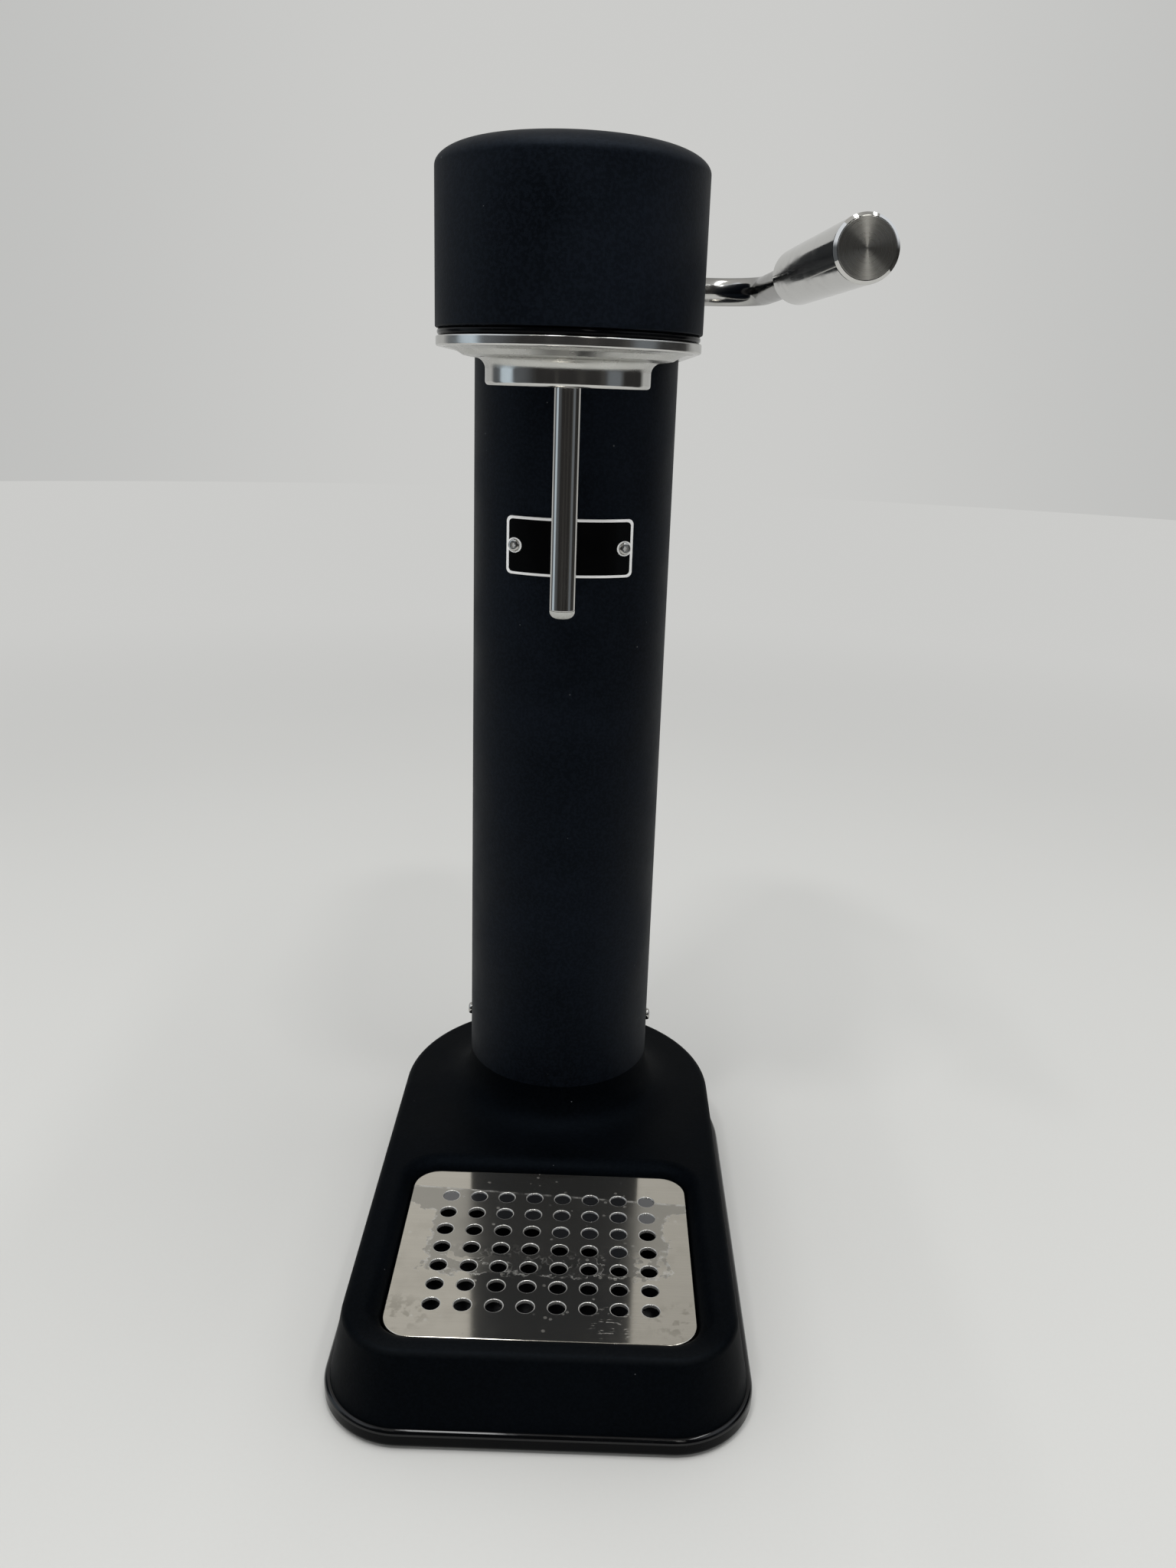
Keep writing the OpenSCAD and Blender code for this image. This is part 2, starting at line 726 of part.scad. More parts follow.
module shaft_bushes() {
  color("#b08a4a") for (side = [0, 180])
    on_column(shaft_z) rotate([0, 0, side]) translate([cheek_x - cheek_t / 2, 0, 0])
      rotate([0, 90, 0]) difference() {
        union() {
          cylinder(r = bush_r, h = cheek_t + bush_flange_t);
          translate([0, 0, cheek_t]) cylinder(r = bush_flange_r, h = bush_flange_t);
        }
        translate([0, 0, -cut])
          cylinder(r = rod_r + run_gap, h = cheek_t + bush_flange_t + 2 * cut);
      }
}

// Gas valve
module valve_block() {
  gallery_l = norm([spigot_x, column_y - spigot_y]);
  gallery_z = chamber_z + gas_bore_r;
  color("#b89552") difference() {
    union() {
      on_column(block_z) cylinder(r = block_r, h = head_z - block_z);
      on_column(head_z - block_flange_t) cylinder(r = block_flange_r, h = block_flange_t);
      translate([spigot_x, spigot_y, head_z - block_flange_t])
        cylinder(r = spigot_r, h = pipe_seat - head_z + block_flange_t);
    }
    on_column(block_z - cut) cylinder(r = stub_r + run_gap, h = stub_l + cut);
    on_column(chamber_z - cut) cylinder(r = chamber_r, h = guide_z - chamber_z + cut);
    on_column(chamber_z) cylinder(r = stem_r + run_gap, h = head_z - chamber_z);
    on_column(spring_seat) cylinder(r = spring_pocket_r, h = head_z - spring_seat + cut);
    on_column(seal_groove_z) rotate_extrude()
      translate([0, -seal_ring_r - fit_gap])
        square([stem_r + run_gap + 2 * (seal_ring_r + fit_gap), 2 * (seal_ring_r + fit_gap)]);
    on_column(gallery_z) rotate([0, 0, atan2(spigot_y - column_y, spigot_x)])
      rotate([0, 90, 0]) cylinder(r = gas_bore_r, h = gallery_l);
    translate([spigot_x, spigot_y, gallery_z]) cylinder(r = gas_bore_r, h = pipe_seat);
    for (spot = block_spots) translate([spot.x, spot.y, head_z - block_flange_t - cut])
      cylinder(r = screw_r + fit_gap, h = block_flange_t + 2 * cut);
  }
}

module block_screws() {
  color("#9a9da1") for (spot = block_spots)
    translate([spot.x, spot.y, chassis_top]) rotate([180, 0, 0])
      screw(screw_r, block_screw_l, screw_head_r, screw_head_h);
}

module cylinder_seal() {
  color("#303236") on_column(chamber_z - cylinder_seal_t)
    tube(stub_r + run_gap - fit_gap, chamber_r + free_gap, cylinder_seal_t);
}

module plunger_seal() {
  color("#303236") on_column(seal_groove_z) rotate_extrude()
    translate([stem_r + run_gap + seal_ring_r, 0]) circle(seal_ring_r, $fn = 32);
}

module plunger() {
  color("#c0c3c7") {
    on_column(plunger_seat) cylinder(r = plunger_head_r, h = plunger_head_t);
    on_column(stem_z) cylinder(r = stem_r, h = plunger_seat - stem_z + plunger_head_t / 2);
  }
}

// Return spring: one wire in a rising helix, made of rings of six points
ring_sides = 6;
turn_rings = 8;
spring_bottom = spring_seat + spring_wire_r + fit_gap;
spring_rise = plunger_seat - fit_gap - spring_wire_r - spring_bottom;
spring_rings = spring_turns * turn_rings;

function spring_point(ring, side) =
  let (a = 360 * ring / turn_rings)
  let (b = 360 * side / ring_sides)
  let (r = spring_r + spring_wire_r * cos(b))
  [r * cos(a), r * sin(a), spring_rise * ring / spring_rings + spring_wire_r * sin(b)];

spring_points = [for (ring = [0 : spring_rings], side = [0 : ring_sides - 1])
  spring_point(ring, side)];
spring_gap = min([for (low = [0 : ring_sides - 1], high = [0 : ring_sides - 1])
  norm(spring_point(turn_rings, high) - spring_point(0, low))]);
echo(spring_gap = spring_gap);

module plunger_spring() {
  last = spring_rings * ring_sides;
  walls = [for (ring = [0 : spring_rings - 1], side = [0 : ring_sides - 1])
    let (low = ring * ring_sides)
    let (next = (side + 1) % ring_sides)
    each [[low + side, low + next, low + ring_sides + next],
      [low + side, low + ring_sides + next, low + ring_sides + side]]];
  first_cap = [for (side = [1 : ring_sides - 2]) [0, side + 1, side]];
  last_cap = [for (side = [1 : ring_sides - 2]) [last, last + side, last + side + 1]];
  color("#d0d2d5") on_column(spring_bottom)
    polyhedron(spring_points, concat(walls, first_cap, last_cap));
}

module gas_pipe() {
  straight = pipe_run - 2 * pipe_bend_r;
  module pipe_section() {
    difference() {
      circle(pipe_r);
      circle(gas_bore_r);
    }
  }
  color("#b87345") translate([spigot_x, spigot_y, pipe_seat]) rotate([0, 0, pipe_turn]) {
    linear_extrude(pipe_rise) pipe_section();
    translate([pipe_run, 0, 0]) linear_extrude(pipe_rise) pipe_section();
    translate([pipe_bend_r, 0, pipe_rise + pipe_bend_r]) rotate([0, 90, 0])
      linear_extrude(straight) pipe_section();
    translate([pipe_bend_r, 0, pipe_rise]) rotate([90, 0, 0]) rotate([0, 0, 90])
      rotate_extrude(angle = 90) translate([pipe_bend_r, 0]) pipe_section();
    translate([pipe_run - pipe_bend_r, 0, pipe_rise]) rotate([90, 0, 0])
      rotate_extrude(angle = 90) translate([pipe_bend_r, 0]) pipe_section();
  }
}

module pipe_nuts() {
  color("#c9a961") for (spot = [[spigot_x, spigot_y], [0, head_y]])
    translate([spot.x, spot.y, pipe_seat]) difference() {
      translate([0, 0, -nut_below]) cylinder(r = nut_r, h = nut_below + nut_above, $fn = 6);
      translate([0, 0, -nut_below - cut]) cylinder(r = spigot_r + fit_gap, h = nut_below + cut);
      translate([0, 0, -cut]) cylinder(r = pipe_r + fit_gap, h = nut_above + 2 * cut);
    }
}

module relief_valve() {
  color("#c9a961") translate([relief_x, relief_y, 0]) difference() {
    union() {
      translate([0, 0, disc_z + disc_t / 2]) cylinder(r = relief_r, h = disc_t / 2 + chassis_t);
      translate([0, 0, chassis_top]) cylinder(r = relief_hex_r, h = relief_hex_h, $fn = 6);
    }
    translate([0, 0, disc_z]) cylinder(r = vent_r, h = disc_t + chassis_t + relief_hex_h + cut);
  }
}

module relief_cap() {
  color("#a33a2c") translate([relief_x, relief_y, chassis_top + relief_hex_h])
    cylinder(r = relief_cap_r, h = relief_cap_h);
}

// Head shell and collar
module head_shell() {
  grommet_hole_r = rod_r + free_gap + grommet_wall;
  color("#12161c") difference() {
    union() {
      translate([0, 0, head_z]) round_head() difference() {
        domed_profile(head_r, head_h, head_round);
        translate([-cut, -cut])
          domed_profile(head_r - head_wall + cut, head_h - head_wall + cut,
            head_round - head_wall);
      }
      for (spot = shell_boss_spots) translate([spot.x, spot.y, chassis_top])
        cylinder(r = shell_boss_r, h = total_h - head_wall / 2 - chassis_top);
    }
    on_column(shaft_z) rotate([0, 90, 0])
      cylinder(r = grommet_hole_r + fit_gap, h = head_r + cut);
    for (spot = shell_boss_spots) translate([spot.x, spot.y, head_z])
      cylinder(r = screw_r + fit_gap, h = shell_screw_l + free_gap);
  }
}

module shell_screws() {
  color("#9a9da1") for (spot = shell_boss_spots) translate([spot.x, spot.y, head_z])
    screw(screw_r, shell_screw_l, screw_head_r, screw_head_h);
}

module lever_grommet() {
  bore_r = rod_r + free_gap;
  color("#101215") on_column(shaft_z) translate([head_r - head_wall - cut, 0, 0])
    rotate([0, 90, 0]) {
      tube(bore_r + grommet_wall, bore_r, head_wall + cut);
      translate([0, 0, head_wall + cut])
        tube(bore_r + grommet_wall + grommet_flange, bore_r, grommet_flange_t);
    }
}

module head_gasket() {
  color("#0b0c0e") difference() {
    translate([0, 0, rim_top]) round_head()
      translate([rim_r - rim_w, 0]) square([rim_w - rim_inset / 2, gasket_t]);
    on_column(rim_top - cut) cylinder(r = column_hole_r, h = gasket_t + 2 * cut);
  }
}

module bottle_collar() {
  bead_r = collar_wall / 2;
  foot_r = collar_r + collar_fillet;
  dish_z = rim_z - dish_drop;
  module dish_profile() {
    polygon([[collar_bore_r, dish_z], [collar_bore_r, dish_z + plate_t], [foot_r, dish_z + plate_t],
      [dish_r, rim_z + plate_t], [dish_r, rim_z], [foot_r, dish_z]]);
    translate([collar_bore_r, collar_z + bead_r])
      square([collar_wall, dish_z - collar_z - bead_r + plate_t / 2]);
    translate([collar_bore_r + bead_r, collar_z + bead_r]) circle(bead_r, $fn = 48);
    difference() {
      translate([collar_r - bead_r, dish_z - collar_fillet])
        square([collar_fillet + bead_r, collar_fillet + plate_t / 2]);
      translate([foot_r, dish_z - collar_fillet]) circle(collar_fillet);
    }
  }
  color("#d8dadd") difference() {
    union() {
      translate([0, 0, rim_z]) round_head() translate([rim_r - rim_w, 0]) square([rim_w, rim_h]);
      difference() {
        translate([0, 0, rim_z]) round_head() square([rim_r - rim_w / 2, plate_t]);
        on_nozzle(rim_z - cut) cylinder(r = dish_r - rim_w / 4, h = plate_t + 2 * cut);
      }
      on_nozzle() rotate_extrude() dish_profile();
    }
    on_column(rim_z - cut) cylinder(r = column_hole_r, h = rim_h + 2 * cut);
  }
}

module bottle_socket() {
  color("#1a1c1f") difference() {
    union() {
      on_nozzle(disc_z) cylinder(r = skirt_r, h = disc_t);
      on_nozzle(skirt_z) tube(skirt_r, skirt_bore_r, disc_z - skirt_z + disc_t / 2);
      for (turn = [0 : 360 / lug_count : 359]) on_nozzle(skirt_z) rotate([0, 0, turn + 45])
        translate([skirt_bore_r - lug_reach, -lug_w / 2, 0])
          cube([lug_reach + skirt_wall / 2, lug_w, lug_h]);
    }
    on_nozzle(disc_z - cut) cylinder(r = carrier_r + fit_gap, h = disc_t + 2 * cut);
    translate([relief_x, relief_y, disc_z + disc_t / 2])
      cylinder(r = relief_r + fit_gap, h = disc_t);
    on_nozzle(disc_z + disc_t / 2 - vent_r - free_gap) rotate([0, 0, 135])
      translate([relief_port_r, 0, 0]) rotate([0, 90, 0])
        cylinder(r = vent_r, h = norm([relief_x, relief_y - head_y]) - relief_port_r);
    on_nozzle(disc_z - cut) rotate([0, 0, 135]) translate([relief_port_r, 0, 0])
      cylinder(r = vent_r, h = disc_t / 2 + cut - free_gap - vent_r);
    translate([relief_x, relief_y, disc_z + disc_t / 2 - 2 * vent_r - free_gap])
      cylinder(r = vent_r, h = disc_t);
    for (spot = socket_spots) translate([spot.x, spot.y, head_z + chassis_t - socket_screw_l])
      cylinder(r = screw_r + fit_gap, h = disc_t);
  }
}

module socket_screws() {
  color("#9a9da1") for (spot = socket_spots)
    translate([spot.x, spot.y, chassis_top]) rotate([180, 0, 0])
      screw(screw_r, socket_screw_l - free_gap, screw_head_r, screw_head_h);
}

module bottle_seal() {
  color("#c9cbc8") on_nozzle(seal_z)
    tube(skirt_bore_r - fit_gap, bottle_seal_r, bottle_seal_t);
}

module nozzle_carrier() {
  color("#c9a961") difference() {
    union() {
      on_nozzle(carrier_z) cylinder(r = carrier_r, h = chassis_top - carrier_z);
      on_nozzle(chassis_top) cylinder(r = carrier_flange_r, h = carrier_flange_t);
      on_nozzle(chassis_top) cylinder(r = spigot_r, h = pipe_seat - chassis_top);
    }
    on_nozzle(carrier_z - cut) cylinder(r = nozzle_r + fit_gap, h = nozzle_top - carrier_z + cut);
    on_nozzle(carrier_z) cylinder(r = gas_bore_r, h = pipe_seat);
  }
}

module nozzle_tube() {
  color("#d8dadd") on_nozzle(nozzle_z + tip_h)
    tube(nozzle_r, nozzle_bore_r, nozzle_top - nozzle_z - tip_h);
}

module nozzle_tip() {
  spigot_l = 5;
  tip_side = 0.4;
  tip_round = tip_h - tip_side;
  color("#b9bbb4") on_nozzle(nozzle_z) difference() {
    union() {
      rotate_extrude() translate([0, tip_h]) mirror([0, 1]) domed_profile(nozzle_r, tip_h, tip_round);
      translate([0, 0, tip_h / 2]) cylinder(r = nozzle_bore_r - fit_gap, h = tip_h / 2 + spigot_l);
    }
    translate([0, 0, -cut]) cylinder(r = jet_r, h = tip_h + spigot_l + 2 * cut);
  }
}

// Lever
module lever_rod() {
  bend_x = arm_reach - arm_tangent;
  arm_l = grip_start - arm_tangent + grip_bore_l - free_gap;
  color("#c5c8cc") on_column(shaft_z) {
    difference() {
      translate([-rod_tail, 0, 0]) rotate([0, 90, 0]) cylinder(r = rod_r, h = rod_tail + bend_x);
      translate([-clip_x - clip_t - fit_gap, 0, 0]) rotate([0, 90, 0])
        tube(rod_r + cut, groove_r, clip_t + 2 * fit_gap);
    }
    translate([bend_x, -arm_bend_r, 0]) rotate([0, 0, splay])
      rotate_extrude(angle = arm_turn) translate([arm_bend_r, 0]) circle(rod_r);
    translate([arm_reach, 0, 0]) rotate([0, 0, splay]) translate([0, -arm_tangent, 0])
      rotate([90, 0, 0]) cylinder(r = rod_r, h = arm_l);
  }
}

module lever_grip() {
  flat_l = grip_l - grip_chamfer;
  color("#d8dadd") on_column(shaft_z) translate([arm_reach, 0, 0]) rotate([0, 0, splay])
    translate([0, -grip_start, 0]) rotate([90, 0, 0]) difference() {
      rotate_extrude() {
        translate([0, flat_l]) mirror([0, 1]) domed_profile(grip_r, flat_l, grip_round);
        polygon([[0, flat_l - cut], [0, grip_l], [grip_r - grip_chamfer, grip_l], [grip_r, flat_l],
          [grip_r, flat_l - cut]]);
      }
      translate([0, 0, -cut]) cylinder(r = rod_r + fit_gap, h = grip_bore_l + cut);
    }
}

// Cam whose flat-faced follower moves the same amount for each degree of turn
function cam_point(turn) =
  let (lift = cam_r + cam_rate * turn * PI / 180)
  [-lift * sin(turn) - cam_rate * cos(turn), -lift * cos(turn) + cam_rate * sin(turn)];

module lever_cam() {
  lobe = [for (turn = [-12 : 3 : lever_turn + 15]) cam_point(turn)];
  color("#5b6168") on_column(shaft_z) difference() {
    union() {
      rotate([0, 90, 0]) cylinder(r = cam_hub_r, h = cam_hub_w, center = true);
      rotate([90, 0, 90]) linear_extrude(cam_w, center = true) polygon(concat([[0, 0]], lobe));
    }
    rotate([0, 90, 0]) cylinder(r = rod_r + fit_gap, h = cam_hub_w + 2 * cut, center = true);
    translate([cam_screw_x, 0, 0]) cylinder(r = cam_screw_r + fit_gap, h = 2 * cam_hub_r);
  }
}

module cam_screw() {
  color("#9a9da1") on_column(shaft_z)
    translate([cam_screw_x, 0, rod_r + fit_gap]) cylinder(r = cam_screw_r, h = cam_hub_r - rod_r);
}

module shaft_clip() {
  color("#9a9da1") on_column(shaft_z) translate([-clip_x - clip_t, 0, 0]) rotate([0, 90, 0])
    difference() {
      tube(clip_r, groove_r + fit_gap, clip_t);
      translate([0, -groove_r * 0.7, -cut]) cube([2 * clip_r, groove_r * 1.4, clip_t + 2 * cut]);
    }
}

// Gas cylinder
module gas_cylinder() {
  module vessel_profile(inset) {
    r = cylinder_r - inset;
    foot = cylinder_foot + inset;
    edge = cylinder_edge_r - inset / 2;
    translate([0, shoulder_z]) mirror([0, 1]) domed_profile(r, shoulder_z - foot, edge);
    intersection() {
      translate([0, shoulder_z - cut]) square([r, shoulder_r + cut]);
      union() {
        translate([neck_r, shoulder_z]) circle(shoulder_r - inset);
        translate([0, shoulder_z - cut]) square([neck_r, shoulder_r - inset + cut]);
      }
    }
  }
  color("#b7bbc0") on_column() rotate_extrude() difference() {
    union() {
      vessel_profile(0);
      translate([0, shoulder_z]) square([neck_r, stub_z - shoulder_z]);
    }
    translate([-cut, shoulder_z]) square([neck_bore_r + cut, stub_z - shoulder_z + cut]);
    vessel_profile(cylinder_wall);
  }
}

module cylinder_valve() {
  color("#c9a961") difference() {
    union() {
      on_column(stub_z - plug_l) cylinder(r = neck_bore_r - fit_gap, h = plug_l + cut);
      on_column(stub_z) cylinder(r = valve_flange_r, h = valve_flange_t);
      on_column(stub_z) cylinder(r = stub_r, h = stub_l);
    }
    on_column(stub_z - plug_l - cut) cylinder(r = pin_r + run_gap, h = stub_l + plug_l + 2 * cut);
    on_column(valve_top - valve_well_l) cylinder(r = chamber_r, h = valve_well_l + cut);
  }
}

module valve_pin() {
  color("#c0c3c7") on_column(pin_top - pin_l) cylinder(r = pin_r, h = pin_l);
}

// Drip tray
module drip_tray() {
  w = grate_w - 2 * tray_inset;
  d = grate_d - 2 * tray_inset;
  r = grate_r - tray_inset;
  color("#15181c") difference() {
    translate([0, 0, pocket_floor]) linear_extrude(tray_top - pocket_floor) tray_outline(w, d, r);
    translate([0, 0, pocket_floor + tray_wall]) linear_extrude(tray_top)
      tray_outline(w - 2 * tray_wall, d - 2 * tray_wall, r - tray_wall);
  }
}

module drip_grate() {
  first_x = -hole_pitch_x * (hole_columns - 1) / 2;
  first_y = grate_y - hole_pitch_y * (hole_rows - 1) / 2;
  color("#aeb1b4") difference() {
    translate([0, 0, tray_top]) linear_extrude(grate_t) tray_outline(grate_w, grate_d, grate_r);
    for (column = [0 : hole_columns - 1], row = [0 : hole_rows - 1])
      translate([first_x + column * hole_pitch_x, first_y + row * hole_pitch_y, tray_top - cut])
        cylinder(d = hole_d, h = grate_t + 2 * cut, $fn = 48);
  }
}

foot_mat();
plinth();
plinth_screws();
base_shell();
tray_pocket();
column_flare();
column_socket();
column_tube();
column_screws();
cylinder_guide();
badge_plate();
badge_screws();
head_chassis();
shaft_bushes();
valve_block();
block_screws();
cylinder_seal();
plunger_seal();
plunger_spring();
gas_pipe();
pipe_nuts();
relief_valve();
relief_cap();
head_shell();
shell_screws();
lever_grommet();
head_gasket();
bottle_collar();
bottle_socket();
socket_screws();
bottle_seal();
nozzle_carrier();
nozzle_tube();
nozzle_tip();
lever_rod();
lever_grip();
lever_cam();
cam_screw();
shaft_clip();
plunger();
valve_pin();
gas_cylinder();
cylinder_valve();
drip_tray();
drip_grate();
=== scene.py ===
# %% [markdown]
# This lesson dresses a packed CAD model of a sparkling water maker: a round coated column on a
# long low base, an overhanging head with a polished bottle collar and a nozzle, a lever on the
# right, and a perforated steel plate over the drip tray. The CAD gives the main sizes and every
# joint. Blender adds what a solid can't show: soft edges, true curves and finishes.

# %% Load the frame
import json
from math import acos, asin, atan2, cos, pi, radians, sin, sqrt

import bmesh
import bpy
from mathutils import Matrix, Vector


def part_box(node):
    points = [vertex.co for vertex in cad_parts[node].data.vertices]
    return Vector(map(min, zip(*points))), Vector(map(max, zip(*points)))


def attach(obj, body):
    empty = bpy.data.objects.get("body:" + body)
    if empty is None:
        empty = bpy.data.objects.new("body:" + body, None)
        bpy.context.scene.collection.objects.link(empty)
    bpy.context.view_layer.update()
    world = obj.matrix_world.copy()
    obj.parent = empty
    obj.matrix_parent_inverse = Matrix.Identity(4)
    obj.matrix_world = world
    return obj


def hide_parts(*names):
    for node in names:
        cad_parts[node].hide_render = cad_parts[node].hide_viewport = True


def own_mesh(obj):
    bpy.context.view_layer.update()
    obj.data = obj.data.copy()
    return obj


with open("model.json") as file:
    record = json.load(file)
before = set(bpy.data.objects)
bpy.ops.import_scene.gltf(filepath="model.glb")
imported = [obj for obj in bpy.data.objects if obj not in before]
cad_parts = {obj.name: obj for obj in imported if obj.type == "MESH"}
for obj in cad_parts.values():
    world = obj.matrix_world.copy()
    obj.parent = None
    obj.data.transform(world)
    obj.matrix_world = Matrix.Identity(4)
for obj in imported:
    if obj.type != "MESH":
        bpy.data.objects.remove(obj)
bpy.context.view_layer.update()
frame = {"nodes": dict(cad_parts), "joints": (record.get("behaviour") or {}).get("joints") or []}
MM = 0.001

# %% [markdown]
# The main sizes are read from the boxes of the CAD nodes, so that the dressed pieces follow the
# solids. Finer ones are named where they are first needed. All lengths below are in millimetres,
# as on a workshop drawing, and are turned into Blender's metres only where a point is made.

# %% Sizes read from the solids
def box_mm(node):
    low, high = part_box(node)
    return low / MM, high / MM


def half_sizes(low, high):
    return (high.x - low.x) / 2, (high.y - low.y) / 2


def round_node(node):
    """Middle and radius of a node that is round about an upright axis."""
    low, high = box_mm(node)
    return (low.y + high.y) / 2, (high.x - low.x) / 2


COLUMN_Y, COLUMN_R = round_node("column_tube")
NOZZLE_Y, NOZZLE_R = round_node("nozzle_tube")
HEAD_LOW, HEAD_HIGH = box_mm("head_shell")
HEAD_R = HEAD_HIGH.x
PLINTH_LOW, PLINTH_HIGH = box_mm("plinth")
BASE_R = PLINTH_HIGH.x
BASE_FRONT = PLINTH_LOW.y
DECK_Z = box_mm("base_shell")[1].z
COLLAR_LOW, COLLAR_HIGH = box_mm("bottle_collar")
GRATE_LOW, GRATE_HIGH = box_mm("drip_grate")
GRATE_Y = (GRATE_LOW.y + GRATE_HIGH.y) / 2
GRIP_LOW, GRIP_HIGH = box_mm("lever_grip")
GRIP_R = (GRIP_HIGH.z - GRIP_LOW.z) / 2
SHAFT_Z = (GRIP_LOW.z + GRIP_HIGH.z) / 2
ROD_LOW, ROD_HIGH = box_mm("lever_rod")
ROD_R = (ROD_HIGH.z - ROD_LOW.z) / 2
print("radii: column", round(COLUMN_R, 2), "head", round(HEAD_R, 2), "grip", round(GRIP_R, 2))

# %% [markdown]
# The camera stands where the photograph was taken. Its place, its tilt and its lens come from a
# fit of the model's known sizes to the picture. A lens is written here in pixels of a
# 1536 by 2048 picture; Blender wants millimetres on a sensor that is 36 mm along the picture's
# longer side, and shifts as shares of that side.

# %% Camera
IMAGE_H = 2048
SENSOR_MM = 36
FOCAL_PX = 1625.3
LENS_AXIS_PX = (7.5, -23.4)
EYE = Vector((12.64, -462.7, 345.87)) * MM
YAW, PITCH, ROLL = -0.001, 0.296, -0.034

forward = Vector((sin(YAW) * cos(PITCH), cos(YAW) * cos(PITCH), -sin(PITCH)))
level_right = Vector((cos(YAW), -sin(YAW), 0))
level_down = forward.cross(level_right)
image_right = cos(ROLL) * level_right + sin(ROLL) * level_down
image_down = cos(ROLL) * level_down - sin(ROLL) * level_right

lens = bpy.data.cameras.new("photo_camera")
lens.sensor_width = SENSOR_MM
lens.lens = FOCAL_PX * SENSOR_MM / IMAGE_H
lens.shift_x = -LENS_AXIS_PX[0] / IMAGE_H
lens.shift_y = LENS_AXIS_PX[1] / IMAGE_H
lens.clip_start = 0.01
camera = bpy.data.objects.new("photo_camera", lens)
axes = Matrix((image_right, -image_down, -forward)).transposed()
camera.matrix_world = Matrix.Translation(EYE) @ axes.to_4x4()
bpy.context.scene.collection.objects.link(camera)
bpy.context.scene.camera = camera
print("lens", round(lens.lens, 2), "mm")

# %% [markdown]
# A finish is a small graph of shader nodes. Written node by node it is hard to read, so one
# class wraps an output socket and lets Python's own operators add the Math nodes. The reflected
# forms make 1 - mask work as well as mask - 1.

# %% Shader maths
class Wire:
    """One output of a finish's nodes, so that maths on it reads as maths."""

    def __init__(self, finish, socket):
        self.finish = finish
        self.socket = socket

    def maths(self, operation, left, right):
        return self.finish.node("ShaderNodeMath", {"operation": operation}, {0: left, 1: right})

    def __add__(self, other):
        return self.maths("ADD", self, other)

    def __radd__(self, other):
        return self.maths("ADD", other, self)

    def __sub__(self, other):
        return self.maths("SUBTRACT", self, other)

    def __rsub__(self, other):
        return self.maths("SUBTRACT", other, self)

    def __mul__(self, other):
        return self.maths("MULTIPLY", self, other)

    def __rmul__(self, other):
        return self.maths("MULTIPLY", other, self)

    def __truediv__(self, other):
        return self.maths("DIVIDE", self, other)

    def __rtruediv__(self, other):
        return self.maths("DIVIDE", other, self)

    def __gt__(self, other):
        return self.maths("GREATER_THAN", self, other)

    def __lt__(self, other):
        return self.maths("LESS_THAN", self, other)

    def __abs__(self):
        return self.maths("ABSOLUTE", self, 0.0)

    def larger(self, other):
        return self.maths("MAXIMUM", self, other)

    def smaller(self, other):
        return self.maths("MINIMUM", self, other)

    def rise(self, low, high):
        """0 below low, 1 above high and a smooth rise between."""
        settings = {"interpolation_type": "SMOOTHSTEP"}
        inputs = {"Value": self, "From Min": low, "From Max": high}
        return self.finish.node("ShaderNodeMapRange", settings, inputs)


print("maths on a wire:", ", ".join(name for name in vars(Wire) if not name.startswith("__")))

# %% [markdown]
# Another class holds the material and adds every other kind of node with a single method. The
# rest of it is short names for what each finish here needs again and again: a place on the piece,
# noise, cells, a mix of two colours, a bump.

